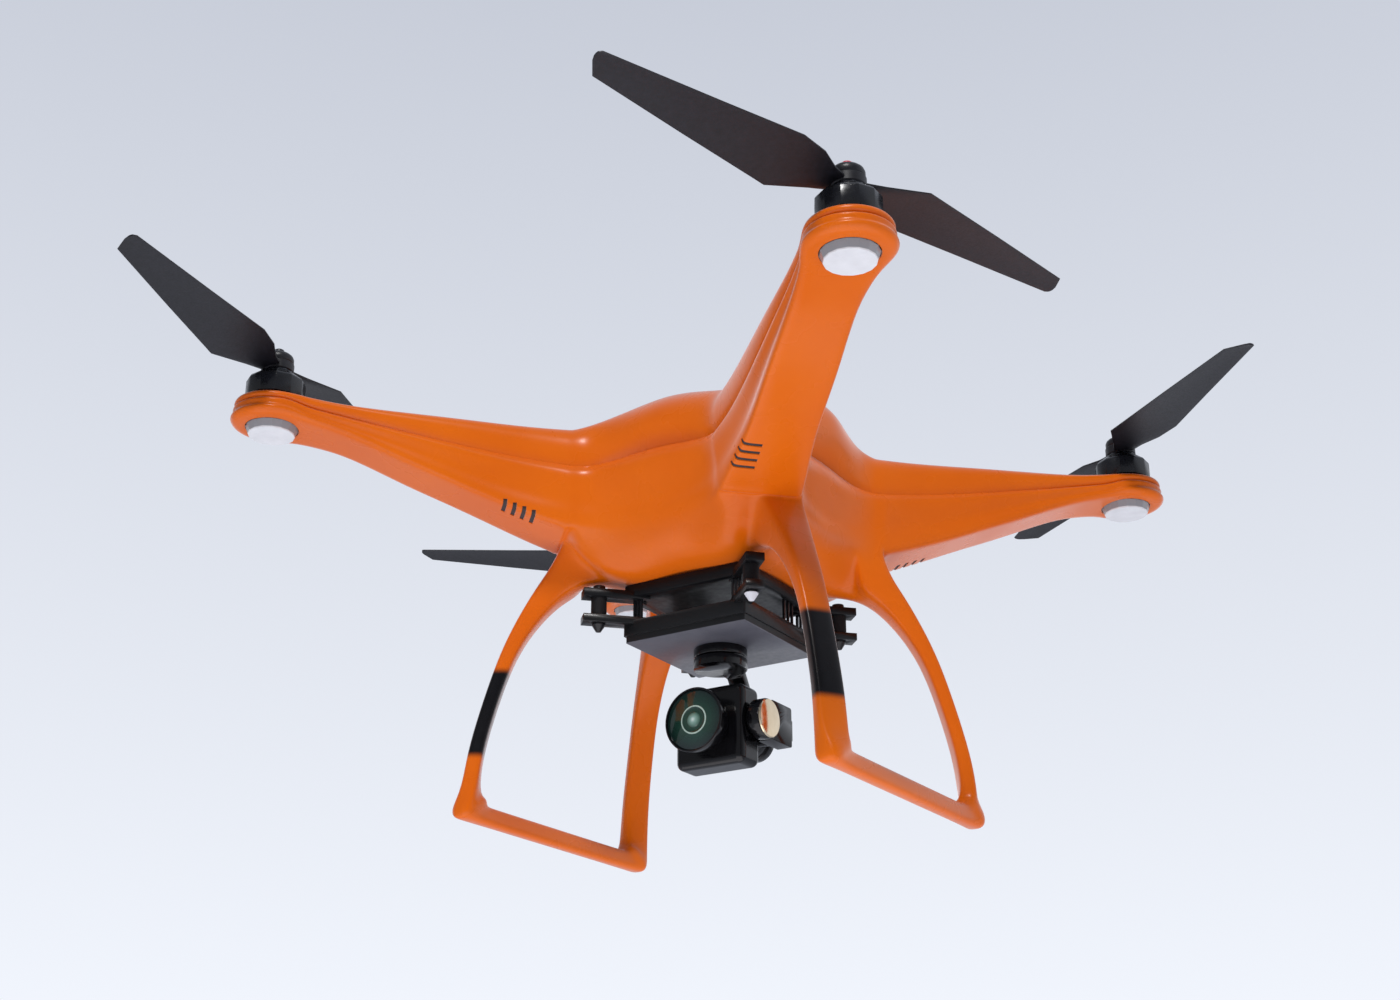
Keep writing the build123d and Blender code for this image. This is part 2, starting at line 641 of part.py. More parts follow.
# the arm hangs from the rotor's rear, goes down behind the camera and carries the roll motor
ARM_PATH = [(5.0, 63.2), (11.6, 62.4), (14.4, 58.0), (18.0, 51.5), (26.3, 46.6), (26.3, GIMBAL_Z)]
ARM_THICKNESS = 3.4
ARM_WIDTH = 6.6
with BuildPart() as yaw_arm:
    with BuildSketch(Plane.XY.offset(YAW_BOTTOM)):
        Circle(YAW_RADIUS)
    extrude(amount=YAW_SPLIT_Z - FIT_GAP - YAW_BOTTOM)
    with BuildSketch(Plane.YZ.offset(-ARM_WIDTH / 2)):
        with BuildLine():
            FilletPolyline(*ARM_PATH, radius=2.4)
        trace(line_width=ARM_THICKNESS)
    extrude(amount=ARM_WIDTH)
    with BuildSketch(Plane.XZ.offset(-ROLL_MOTOR_Y[0])):
        with Locations((0, GIMBAL_Z)):
            Circle(ROLL_RADIUS)
    extrude(amount=-(ROLL_MOTOR_Y[1] - ROLL_MOTOR_Y[0]), mode=Mode.SUBTRACT)
    with BuildSketch(Plane.XZ.offset(-ROLL_MOTOR_Y[1])):
        with Locations((0, GIMBAL_Z)):
            Circle(ROLL_RADIUS + 0.6)
    extrude(amount=-3.0)
    fillet(yaw_arm.edges().filter_by(GeomType.CIRCLE).group_by(Axis.Z)[-1], 0.4)
finish(yaw_arm, "yaw_arm")

with BuildPart() as roll_motor:
    with BuildSketch(Plane.XZ.offset(-ROLL_MOTOR_Y[0])):
        with Locations((0, GIMBAL_Z)):
            Circle(ROLL_RADIUS)
    extrude(amount=-(ROLL_MOTOR_Y[1] - ROLL_MOTOR_Y[0]))
finish(roll_motor, "roll_motor")

with BuildPart() as roll_bracket:
    plate_right = BLOCK_X[1] - 0.8
    with BuildSketch(Plane.XZ.offset(-ROLL_PLATE_Y[0])):
        with Locations(((plate_right - ROLL_RADIUS) / 2, sum(ROLL_PLATE_Z) / 2)):
            RectangleRounded(plate_right + ROLL_RADIUS, ROLL_PLATE_Z[1] - ROLL_PLATE_Z[0], 1.2)
    extrude(amount=-(ROLL_PLATE_Y[1] - ROLL_PLATE_Y[0]))
    with BuildSketch(Plane.YZ.offset(BLOCK_X[0])):
        with Locations((sum(BLOCK_Y) / 2, sum(BLOCK_Z) / 2)):
            RectangleRounded(BLOCK_Y[1] - BLOCK_Y[0], BLOCK_Z[1] - BLOCK_Z[0], 1.0)
    extrude(amount=BLOCK_X[1] - BLOCK_X[0])
    with BuildSketch(Plane.YZ.offset(BLOCK_X[0] - 2)):
        with Locations((PITCH_AXIS_Y, GIMBAL_Z)):
            Circle(PITCH_RADIUS)
    extrude(amount=10, mode=Mode.SUBTRACT)
finish(roll_bracket, "roll_bracket")

with BuildPart() as pitch_motor:
    for radius, start, end in ((5.6, CAMERA_HALF[0] + FIT_GAP, 17.0), (PITCH_RADIUS, 17.0, PITCH_MOTOR_END)):
        with BuildSketch(Plane.YZ.offset(start)):
            with Locations((PITCH_AXIS_Y, GIMBAL_Z)):
                Circle(radius)
        extrude(amount=end - start)
finish(pitch_motor, "pitch_motor")

with BuildPart() as pitch_end_cap:
    with BuildSketch(Plane.YZ.offset(PITCH_MOTOR_END)):
        with Locations((PITCH_AXIS_Y, GIMBAL_Z)):
            Circle(PITCH_RADIUS - 0.3)
    extrude(amount=1.3)
    chamfer(pitch_end_cap.edges().group_by(Axis.X)[-1], 0.5)
finish(pitch_end_cap, "pitch_end_cap")

with BuildPart() as camera_housing:
    with Locations(CAMERA_CENTRE):
        Box(*[2 * half for half in CAMERA_HALF])
    fillet(camera_housing.edges(), 3.0)
    front_y = CAMERA_CENTRE[1] - CAMERA_HALF[1]
    with Locations(CAMERA_CENTRE):
        Box(*[2 * half - 3.2 for half in CAMERA_HALF], mode=Mode.SUBTRACT)
    with BuildSketch(Plane.XZ.offset(-front_y - 2)):
        with Locations((0, CAMERA_CENTRE[2])):
            Circle(8.2)
    extrude(amount=4, mode=Mode.SUBTRACT)
finish(camera_housing, "camera_housing")

with BuildPart() as sensor_board:
    with BuildSketch(Plane.XZ.offset(-1.2)):
        with Locations((0, CAMERA_CENTRE[2])):
            Rectangle(24, 24)
    extrude(amount=1.2)
    with BuildSketch(Plane.XZ):
        with Locations((0, CAMERA_CENTRE[2])):
            Rectangle(10, 8)
    extrude(amount=1.4)
finish(sensor_board, "sensor_board")

lens_axis = Axis((0, 0, CAMERA_CENTRE[2]), (0, -1, 0))
lens_plane = Plane(origin=(0, 0, CAMERA_CENTRE[2]), x_dir=(0, -1, 0), z_dir=(1, 0, 0))
GLASS_Y = 18.2
with BuildPart() as lens_hood:
    with BuildSketch(lens_plane):
        with BuildLine():
            Polyline(
                (4.6, 8.2), (9.4, 8.2), (9.4, 9.0), (17.2, LENS_RADIUS), (-LENS_FRONT_Y, LENS_RADIUS),
                (-LENS_FRONT_Y, 11.2), (GLASS_Y, 10.9), (GLASS_Y - 1.2, 10.9), (GLASS_Y - 1.2, 9.4),
                (10.2, 6.0), (4.6, 6.0), close=True)
        make_face()
    revolve(axis=lens_axis)
finish(lens_hood, "lens_hood")

with BuildPart() as lens_glass:
    with BuildSketch(lens_plane):
        with BuildLine():
            Polyline((GLASS_Y - 1.2, 0), (GLASS_Y - 1.2, 10.9), (GLASS_Y, 10.9), (GLASS_Y, 0), close=True)
        make_face()
    revolve(axis=lens_axis)
finish(lens_glass, "lens_glass")

with BuildPart() as lens_barrel:
    with BuildSketch(lens_plane):
        with BuildLine():
            Polyline(
                (3.0, 0), (3.0, 5.6), (15.4, 5.6), (15.4, 4.6), (14.6, 4.4), (14.6, 2.8), (15.2, 0),
                close=True)
        make_face()
    revolve(axis=lens_axis)
finish(lens_barrel, "lens_barrel")
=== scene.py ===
"""Looks of the camera quadcopter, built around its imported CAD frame.

Lengths are millimetres while a shape is worked out and metres in every mesh. The craft faces -Y, with
its left side at +X. The skin of the body, its arms and its legs is one subdivided cage, which is then
split into the moulded pieces.
"""

from math import cos, pi, radians, sin, sqrt

import bmesh
import bpy
import numpy as np
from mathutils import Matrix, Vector


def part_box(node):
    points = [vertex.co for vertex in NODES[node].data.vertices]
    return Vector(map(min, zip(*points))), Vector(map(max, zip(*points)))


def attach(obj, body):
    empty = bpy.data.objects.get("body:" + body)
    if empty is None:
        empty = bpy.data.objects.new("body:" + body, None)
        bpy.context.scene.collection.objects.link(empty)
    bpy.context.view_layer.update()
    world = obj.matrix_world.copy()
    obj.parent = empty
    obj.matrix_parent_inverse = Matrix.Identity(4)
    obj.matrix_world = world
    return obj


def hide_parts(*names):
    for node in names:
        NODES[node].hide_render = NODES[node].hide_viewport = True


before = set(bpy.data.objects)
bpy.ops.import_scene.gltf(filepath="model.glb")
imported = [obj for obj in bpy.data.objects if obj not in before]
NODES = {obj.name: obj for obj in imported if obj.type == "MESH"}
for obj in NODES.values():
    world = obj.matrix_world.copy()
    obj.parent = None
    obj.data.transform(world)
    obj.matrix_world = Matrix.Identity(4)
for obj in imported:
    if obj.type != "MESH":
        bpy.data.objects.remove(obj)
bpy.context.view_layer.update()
MM = 0.001
CORNERS = {"front_left": (1, -1), "front_right": (-1, -1), "rear_left": (1, 1), "rear_right": (-1, 1)}
ROOT2 = sqrt(2)


def box_mm(node):
    """Lowest and highest corner of a CAD node, in millimetres."""
    return [[c / MM for c in corner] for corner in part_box(node)]


# ---- material tools ------------------------------------------------------------------------------
MIX_FIRST, MIX_SECOND, MIX_RESULT = 6, 7, 2     # the colour sockets of a Mix node


def srgb(r, g, b):
    """Linear colour of a display colour given from 0 to 255."""
    def linear(level):
        share = level / 255
        return share / 12.92 if share <= 0.04045 else ((share + 0.055) / 1.055) ** 2.4

    return (linear(r), linear(g), linear(b), 1.0)


def new_material(name):
    material = bpy.data.materials.new(name)
    material.use_nodes = True
    tree = material.node_tree
    return material, tree, tree.nodes["Principled BSDF"]


def add(tree, kind, **values):
    """A node with its named inputs or properties set."""
    node = tree.nodes.new(kind)
    for key, value in values.items():
        if key in node.inputs:
            node.inputs[key].default_value = value
        else:
            setattr(node, key, value)
    return node


def place_axes(tree, space="Object"):
    """Sockets named X, Y and Z: the place in the object, in metres, or the sky's direction."""
    where = add(tree, "ShaderNodeTexCoord")
    axes = add(tree, "ShaderNodeSeparateXYZ")
    tree.links.new(where.outputs[space], axes.inputs["Vector"])
    return axes.outputs


def object_noise(tree, scale, detail=3.0, roughness=0.5):
    where = add(tree, "ShaderNodeTexCoord")
    noise = add(tree, "ShaderNodeTexNoise", Scale=scale, Detail=detail, Roughness=roughness)
    tree.links.new(where.outputs["Object"], noise.inputs["Vector"])
    return noise.outputs["Fac"]


def ramp(tree, factor, low, high, start=0.3, end=0.7):
    """Map a factor from one grey or colour to another."""
    node = add(tree, "ShaderNodeValToRGB")
    node.color_ramp.elements[0].position = start
    node.color_ramp.elements[1].position = end
    node.color_ramp.elements[0].color = low if hasattr(low, "__len__") else (low, low, low, 1)
    node.color_ramp.elements[1].color = high if hasattr(high, "__len__") else (high, high, high, 1)
    tree.links.new(factor, node.inputs["Fac"])
    return node.outputs["Color"]


def smooth_step(tree, value, start, end, before=0.0, after=1.0):
    """Turn smoothly from one number to another between two values of a socket."""
    node = add(tree, "ShaderNodeMapRange", interpolation_type="SMOOTHSTEP")
    for name, number in (("From Min", start), ("From Max", end), ("To Min", before), ("To Max", after)):
        node.inputs[name].default_value = number
    tree.links.new(value, node.inputs["Value"])
    return node.outputs["Result"]


def arithmetic(tree, operation, first, second=None):
    """Result of a Math node on one socket, or on a socket and another socket or number."""
    node = add(tree, "ShaderNodeMath", operation=operation)
    tree.links.new(first, node.inputs[0])
    if isinstance(second, bpy.types.NodeSocket):
        tree.links.new(second, node.inputs[1])
    elif second is not None:
        node.inputs[1].default_value = second
    return node.outputs[0]


def repaint(material, share, colour):
    """Mix a colour, or a socket's colour, into a material by a share from 0 to 1."""
    tree = material.node_tree
    base = tree.nodes["Principled BSDF"].inputs["Base Color"]
    mix = add(tree, "ShaderNodeMix", data_type="RGBA")
    tree.links.new(share, mix.inputs["Factor"])
    tree.links.new(base.links[0].from_socket, mix.inputs[MIX_FIRST])
    if isinstance(colour, bpy.types.NodeSocket):
        tree.links.new(colour, mix.inputs[MIX_SECOND])
    else:
        mix.inputs[MIX_SECOND].default_value = colour
    tree.links.new(mix.outputs[MIX_RESULT], base)


def paint_above(material, axis, level, colour, edge):
    """Repaint a material past a level along an axis; the change is twice the edge wide."""
    tree = material.node_tree
    share = smooth_step(tree, place_axes(tree)[axis], (level - edge) * MM, (level + edge) * MM)
    repaint(material, share, colour)


def set_bump(tree, shader, height, strength, distance):
    bump = add(tree, "ShaderNodeBump", Strength=strength, Distance=distance)
    tree.links.new(height, bump.inputs["Height"])
    tree.links.new(bump.outputs["Normal"], shader.inputs["Normal"])


def plastic(name, dark, light, rough, grain=900.0, relief=0.05, metallic=0.0, spread=60.0,
            specular=0.5, sheen=0.0, sheen_tint=(1.0, 1.0, 1.0, 1.0), coat=0.0):
    """Moulded or painted surface: cloudy colour, uneven gloss and a fine grain."""
    material, tree, shader = new_material(name)
    clouds = object_noise(tree, spread, 4.0, 0.55)
    tree.links.new(ramp(tree, clouds, dark, light), shader.inputs["Base Color"])
    gloss = ramp(tree, object_noise(tree, spread * 3, 3.0), rough[0], rough[1])
    tree.links.new(gloss, shader.inputs["Roughness"])
    set_bump(tree, shader, object_noise(tree, grain, 2.0), relief, 0.0002)
    fixed = {"Metallic": metallic, "Specular IOR Level": specular, "Sheen Weight": sheen,
             "Sheen Roughness": 0.3, "Sheen Tint": sheen_tint, "Coat Weight": coat, "Coat Roughness": 0.12}
    for socket, value in fixed.items():
        shader.inputs[socket].default_value = value
    return material


ORANGE_DARK = srgb(209, 93, 2)
ORANGE_LIGHT = srgb(218, 102, 5)


def shell_paint():
    return plastic("orange_shell", ORANGE_DARK, ORANGE_LIGHT, (0.25, 0.31), grain=1400, relief=0.04,
                   spread=18, specular=0.22, sheen=0.65, sheen_tint=(1.0, 0.84, 0.8, 1.0))


SLEEVE_BOTTOM = 25.0
SLEEVE_TOP = 58.0
SLEEVE_EDGE = 1.6             # half the height over which the paint turns from orange to black
FRONT_EDGE = 1.0              # the same at the plane between the front and rear legs


def skid_paint():
    """Shell paint with a black band round each front leg."""
    material = shell_paint()
    material.name = "orange_skid"
    tree = material.node_tree
    axes = place_axes(tree)
    edge = SLEEVE_EDGE * MM
    over = smooth_step(tree, axes["Z"], SLEEVE_BOTTOM * MM - edge, SLEEVE_BOTTOM * MM + edge)
    under = smooth_step(tree, axes["Z"], SLEEVE_TOP * MM - edge, SLEEVE_TOP * MM + edge, 1, 0)
    front = smooth_step(tree, axes["Y"], -FRONT_EDGE * MM, FRONT_EDGE * MM, 1, 0)
    band = arithmetic(tree, "MULTIPLY", arithmetic(tree, "MULTIPLY", over, under), front)
    repaint(material, band, ramp(tree, object_noise(tree, 300, 3.0), srgb(7, 7, 10), srgb(12, 12, 16)))
    return material


# ---- finishes of the other pieces ----------------------------------------------------------------
PAINTED_REFLECTION_HEIGHT = 0.2         # the painted reflection, a grey on the lower plate's underside, reaches this far up
TIP_ABOVE = 176.4             # the coloured tip of a propeller nut
LENS_SHADE_ABOVE = 141.9        # the painted shade on the sides of a light lens, a grey above this height
PIN_GLINT_BELOW = 75.6          # the painted highlight on the tip of the front left anti-drop pin
LENS_RADIUS = 11.0


def gimbal_gloss():
    return plastic("gimbal_gloss", srgb(6, 6, 8), srgb(11, 11, 14), (0.14, 0.22), grain=1600, relief=0.012,
                   spread=90, specular=0.28, coat=0.12)


def plate_gloss():
    return plastic("plate_gloss", srgb(7, 8, 10), srgb(13, 14, 17), (0.38, 0.48), grain=2600, relief=0.008,
                   spread=140, specular=0.22)


def lower_plate_painted_reflection():
    """Gloss black, with a painted reflection: the underside is painted satin grey."""
    # the grey base colour here is the painted reflection on the underside
    material = plastic("lower_plate", srgb(74, 75, 83), srgb(82, 83, 91), (0.34, 0.42), grain=2600,
                       relief=0.012, spread=140, specular=0.3, coat=0.1)
    (_, _, bottom), _ = box_mm("damper_lower_plate")
    # painted reflection: grey below this level, gloss black above
    paint_above(material, "Z", bottom + PAINTED_REFLECTION_HEIGHT, srgb(10, 11, 13), 0.1)
    return material


def propeller_plastic():
    """Matte glass-filled plastic with a fine speckle."""
    return plastic("propeller_plastic", srgb(12, 11, 16), srgb(23, 22, 29), (0.38, 0.5), grain=3200,
                   relief=0.05, spread=500, specular=0.45)


def bell_metal():
    return plastic("bell_metal", srgb(9, 10, 14), srgb(18, 20, 27), (0.2, 0.3), grain=2400, relief=0.01,
                   spread=200, specular=0.5)


def winding_copper():
    return plastic("winding_copper", srgb(26, 20, 18), srgb(78, 44, 22), (0.3, 0.5), grain=1800, relief=0.3,
                   spread=700, metallic=0.6)


def bearing_steel():
    return plastic("bearing_steel", srgb(140, 142, 148), srgb(178, 180, 186), (0.2, 0.35), grain=1800,
                   relief=0.05, spread=400, metallic=1.0)


def nut_finish(red=False):
    """Black dome; its tip is red on two of the nuts."""
    material = plastic("nut_red_tip" if red else "nut_grey_tip", srgb(18, 18, 22), srgb(28, 28, 33),
                       (0.3, 0.42), grain=1800, relief=0.05, spread=300, specular=0.35)
    paint_above(material, "Z", TIP_ABOVE, srgb(206, 40, 62) if red else srgb(34, 34, 38), 0.1)
    return material


def light_lens():
    """Milky clear plastic over the arm lights, with painted shade: its sides are grey."""
    material = plastic("light_lens", srgb(212, 214, 217), srgb(222, 224, 227), (0.10, 0.18), grain=900,
                       relief=0.0, spread=200, specular=0.6)
    # painted shade: the lens sides turn grey above this height
    paint_above(material, "Z", LENS_SHADE_ABOVE, srgb(140, 142, 146), 0.15)
    return material


def circuit_board():
    return plastic("circuit_board", srgb(10, 60, 32), srgb(18, 82, 44), (0.3, 0.5), grain=2500, relief=0.2,
                   spread=420)


def vent_plastic():
    return plastic("vent_black", srgb(44, 38, 40), srgb(58, 50, 50), (0.5, 0.6), grain=1800, relief=0.1,
                   spread=300, specular=0.3, sheen=0.4)


def indicator_lens():
    return plastic("indicator", srgb(120, 200, 130), srgb(150, 220, 158), (0.15, 0.25), grain=900,
                   relief=0.03, spread=300)


def battery_case():
    return plastic("battery_case", srgb(28, 29, 33), srgb(40, 41, 46), (0.4, 0.5), grain=2200, relief=0.15,
                   spread=160, specular=0.3)


def button_grey():
    return plastic("button_grey", srgb(122, 124, 130), srgb(138, 140, 147), (0.35, 0.45), grain=1800,
                   relief=0.08, spread=300)


def damper_rubber():
    return plastic("damper_rubber", srgb(16, 16, 18), srgb(25, 25, 27), (0.65, 0.8), grain=2600, relief=0.2,
                   spread=500, specular=0.2)


def pin_finish():
    """Black pins; the front left one has a painted highlight, a light grey on its tip."""
    material = plastic("pin_black", srgb(14, 14, 17), srgb(23, 23, 27), (0.25, 0.38), grain=2400,
                       relief=0.05, spread=300, specular=0.35)
    tree = material.node_tree
    # painted highlight: light grey on the front left pin's tip, below the given height
    axes = place_axes(tree)
    left = arithmetic(tree, "GREATER_THAN", axes["X"], 0.0)
    front = arithmetic(tree, "LESS_THAN", axes["Y"], 0.0)
    tip = arithmetic(tree, "LESS_THAN", axes["Z"], PIN_GLINT_BELOW * MM)
    chosen = arithmetic(tree, "MULTIPLY", arithmetic(tree, "MULTIPLY", left, front), tip)
    repaint(material, chosen, srgb(214, 216, 222))
    return material


# painted reflection: the cap's cream colour stands for the warm light reflected in its polished dark metal
def mirror_cap():
    return plastic("mirror_cap", srgb(226, 205, 172), srgb(236, 217, 186), (0.08, 0.14), grain=3000,
                   relief=0.02, spread=200, metallic=1.0)


# colours of the lens from its axis to its rim, as shares of its radius; dark green glass, with painted
# reflections as the light middle on the domed centre and the thin light ring on the raised ring's crest
LENS_STOPS = (
    (0.0, (190, 205, 200)), (0.10, (120, 150, 140)), (0.22, (70, 100, 88)), (0.27, (24, 52, 40)),
    (0.435, (22, 48, 38)), (0.455, (150, 170, 160)), (0.485, (165, 182, 172)), (0.50, (26, 54, 44)),
    (0.75, (20, 44, 37)), (1.0, (14, 30, 28)),
)


def lens_coating_and_reflection(axis):
    """Dark green coated glass with painted reflections, in rings round the lens's axis, which is given as X
    and Z.
    """
    material, tree, shader = new_material("lens_coating_and_reflection")
    axes = place_axes(tree)
    squares = []
    for name, middle in zip("XZ", axis):
        offset = arithmetic(tree, "SUBTRACT", axes[name], middle * MM)
        squares.append(arithmetic(tree, "POWER", offset, 2.0))
    reach = arithmetic(tree, "SQRT", arithmetic(tree, "ADD", *squares))
    # rings of colour: dark green glass, with painted reflections in the middle and on the raised ring
    rings = add(tree, "ShaderNodeValToRGB")
    elements = rings.color_ramp.elements
    while len(elements) < len(LENS_STOPS):
        elements.new(0.5)
    for element, (share, colour) in zip(elements, LENS_STOPS):
        element.position = share
        element.color = srgb(*colour)
    tree.links.new(arithmetic(tree, "DIVIDE", reach, LENS_RADIUS * MM), rings.inputs["Fac"])
    tree.links.new(rings.outputs["Color"], shader.inputs["Base Color"])
    tree.links.new(ramp(tree, object_noise(tree, 500), 0.05, 0.09), shader.inputs["Roughness"])
    shader.inputs["Coat Weight"].default_value = 0.3
    return material


def lens_barrel():
    return plastic("lens_barrel", srgb(20, 20, 22), srgb(32, 32, 35), (0.35, 0.5), grain=2400, relief=0.1,
                   spread=300)


FINISHES = {
    "shell_plastic": shell_paint, "stator_windings": winding_copper, "bearing_steel": bearing_steel,
    "motor_black": bell_metal, "propeller_plastic": propeller_plastic, "nut_black": nut_finish,
    "light_lens": light_lens, "circuit_board": circuit_board, "vent_black": vent_plastic,
    "indicator": indicator_lens, "battery_case": battery_case, "button_grey": button_grey,
    "plate_gloss": plate_gloss, "damper_rubber": damper_rubber, "pin_black": pin_finish,
    "gimbal_gloss": gimbal_gloss, "mirror_cap": mirror_cap, "lens_glass": gimbal_gloss,
    "lens_barrel": lens_barrel,
}


# ---- mesh tools ----------------------------------------------------------------------------------


def make_object(name, vertices, faces, material, smooth=True, scale=MM):
    mesh = bpy.data.meshes.new(name)
    mesh.from_pydata([tuple(scale * c for c in v) for v in vertices], [], faces)
    mesh.validate()
    piece = bpy.data.objects.new(name, mesh)
    bpy.context.scene.collection.objects.link(piece)
    if material is not None:
        mesh.materials.append(material)
    mesh.polygons.foreach_set("use_smooth", [smooth] * len(mesh.polygons))
    return piece


def apply_modifiers(piece):
    """Bake the modifiers into the piece's own mesh."""
    graph = bpy.context.evaluated_depsgraph_get()
    baked = bpy.data.meshes.new_from_object(piece.evaluated_get(graph))
    piece.modifiers.clear()
    piece.data = baked
    return piece


def outward(piece):
    """Turn every face of a closed piece outwards."""
    work = bmesh.new()
    work.from_mesh(piece.data)
    bmesh.ops.recalc_face_normals(work, faces=work.faces)
    work.to_mesh(piece.data)
    work.free()
    return piece


def soften(piece, width=0.4, segments=2, angle=35):
    """Round the sharp edges a little and shade the rest smooth."""
    bevel = piece.modifiers.new("bevel", "BEVEL")
    bevel.width = width * MM
    bevel.segments = segments
    bevel.limit_method = "ANGLE"
    bevel.angle_limit = radians(angle)
    bevel.harden_normals = True
    apply_modifiers(piece)
    piece.data.polygons.foreach_set("use_smooth", [True] * len(piece.data.polygons))
    return piece


def show(piece, body, slot, *replaced):
    """Attach a finished piece to its CAD body and hide the nodes it stands for; the slot is not used."""
    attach(piece, body)
    if replaced:
        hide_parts(*replaced)
    return piece


# ---- skin cage -----------------------------------------------------------------------------------
# distances from the centre of the craft along a diagonal
POD_CENTRE = 175.0
POD_BEARINGS = (90, 67.5, 45, 22.5, 0)
NECK_AT = 168.5               # where the arm widens into the pod
ARM_STATIONS = (163, 157, 148, 136, 122, 108, 94, 81, 71, 65)
LIP_AT = 63.2                 # a small lip across the arm's underside
LIP_SECTION = 63.0            # whose outline it takes
LIP_DROP = 0.7
ROOT_AT = 61.5                # where an arm's own sections end
ROOT_LIFT = 1.0
ARM_KEYS = (62, 75, 90, 105, 120, 135, 150, 163, 175)

# half widths and heights of an arm's lines at those distances, from the top down
ARM_LINES = {
    "top": ((10, 9.5, 9.3, 9.2, 9.2, 9.2, 9.4, 11, 13),
            (151.4, 151.2, 151.5, 152.1, 152.4, 152.7, 153.2, 154.4, 154.8)),
    "shoulder": ((13.5, 13, 12.8, 12.6, 12.4, 12.1, 11.8, 12.4, 14.6),
                 (150, 149.8, 150.1, 150.7, 151, 151.3, 152, 153.4, 154.2)),
    "band": ((17.5, 16, 15.5, 15.2, 14.9, 14.4, 13.6, 13.4, 15.1),
             (144, 144.5, 145.5, 147, 148, 149.2, 150.8, 152.2, 153.2)),
    "groove": ((15.8, 14, 13.2, 12.8, 12.4, 12, 11.4, 11.8, 14.1),
               (133.5, 135, 137, 139.3, 141.8, 144.4, 147.2, 149.4, 151.5)),
    "ridge": ((18, 15.6, 14.7, 14.2, 13.8, 13.3, 12.7, 13.1, 15.6),
              (128.5, 130.6, 133.2, 136.2, 139.2, 142.3, 145.6, 148, 150.1)),
    "valley": ((16.2, 13.3, 11.9, 11.5, 11.4, 11.2, 11.2, 12.1, 15),
               (119, 121.6, 125, 130, 135.2, 139.8, 143.9, 146.4, 148.5)),
    "edge": ((15.8, 14.6, 12.4, 12.3, 12.3, 11.4, 11, 12.8, 16.1),
             (109, 112.9, 118.4, 124.4, 129.9, 136.2, 141.9, 144.6, 146.4)),
    "panel": ((14.2, 13.2, 11.1, 11, 11, 10.2, 9.8, 11.3, 14.4),
              (108.3, 112.2, 117.6, 123.7, 129.1, 135.4, 141.1, 143.7, 144.6)),
}
# the same lines where they cross the plane midway between two arms: distance and height;
# the body's shoulders are lower at its front and rear than at its sides
BODY_LOWER = [
    (50.8, 141), (46.6, 136.6), (49.4, 133.4), (51.3, 128.5), (45.8, 116.5), (47.8, 111), (46.8, 106),
    (43, 100.6), (35.5, 95.4), (24, 92), (0, 92),
]
BODY_LINES = {
    "end": [(0, 170.5), (17, 169.2), (33, 164.8), (45, 158), (51.5, 148.5)] + BODY_LOWER,
    "side": [(0, 170.5), (18, 169.6), (36, 166.8), (50.5, 161.5), (54, 150)] + BODY_LOWER,
}
GROOVE, VALLEY, EDGE, LAST = 6, 9, 11, 15       # places of those lines in a section
GROOVE_CREASE = 0.55


def arm_section(distance):
    """Half section of an arm as (half width, height), in the order of BODY_LINES."""
    def line(name):
        widths, heights = ARM_LINES[name]
        return float(np.interp(distance, ARM_KEYS, widths)), float(np.interp(distance, ARM_KEYS, heights))

    top, shoulder, band = line("top"), line("shoulder"), line("band")
    groove, ridge, valley = line("groove"), line("ridge"), line("valley")
    edge, panel = line("edge"), line("panel")
    lip = min(1.0, (groove[1] - ridge[1]) / 4)
    return [
        (0, top[1]), (0.55 * top[0], top[1]), (top[0], top[1] - 0.3), shoulder, band,
        (groove[0] + 1.1, groove[1] + 2.4 * lip), groove, (groove[0] + 1.2, groove[1] - 1.8 * lip),
        ridge, valley, (0.5 * (valley[0] + edge[0]) + 0.7, 0.55 * valley[1] + 0.45 * edge[1]),
        edge, panel, (0.66 * panel[0], panel[1]), (0.33 * panel[0], panel[1]), (0, panel[1]),
    ]


def hermite(start, end, leave, arrive, t):
    """Point at share t of a curve with given ends and slopes."""
    return ((2 * t**3 - 3 * t**2 + 1) * start + (t**3 - 2 * t**2 + t) * leave
            + (3 * t**2 - 2 * t**3) * end + (t**3 - t**2) * arrive)


BODY_STEPS = (0.08, 0.16, 0.24, 0.32, 0.48, 0.66, 0.84, 1.0)
LEG_STEPS = 4                 # of those, the ones beside the leg's root
BODY_FULLNESS = 1.1           # how far a line runs on square to the midway plane
PANEL_FADE = 0.4              # share of the way at which the arm's underside has merged into the belly


def body_point(row, t, facing):
    """A point of the skin between the arm's root (t 0) and the plane midway to the next arm (t 1)."""
    width, height = arm_section(ROOT_AT)[row]
    reach, end_height = BODY_LINES[facing][row]
    start = np.array([ROOT_AT, width])
    end = np.array([reach, reach]) / ROOT2
    chord = np.linalg.norm(end - start)
    turn = min(chord, BODY_FULLNESS * reach)
    if reach == 0:
        place = start + (end - start) * t
    else:
        place = hermite(start, end, np.array([-chord, 0.0]), np.array([-turn, turn]) / ROOT2, t)
    if row >= EDGE + 2:
        left = max(0.0, 1 - t / PANEL_FADE) ** 1.5
        level = end_height + (height - end_height) * left
    elif row <= 3:
        level = hermite(height, end_height, 12.0, 0.0, t)
    else:
        level = hermite(height, end_height, -3.0 if row >= VALLEY else 0.0, 0.0, t)
    return (*place, level)


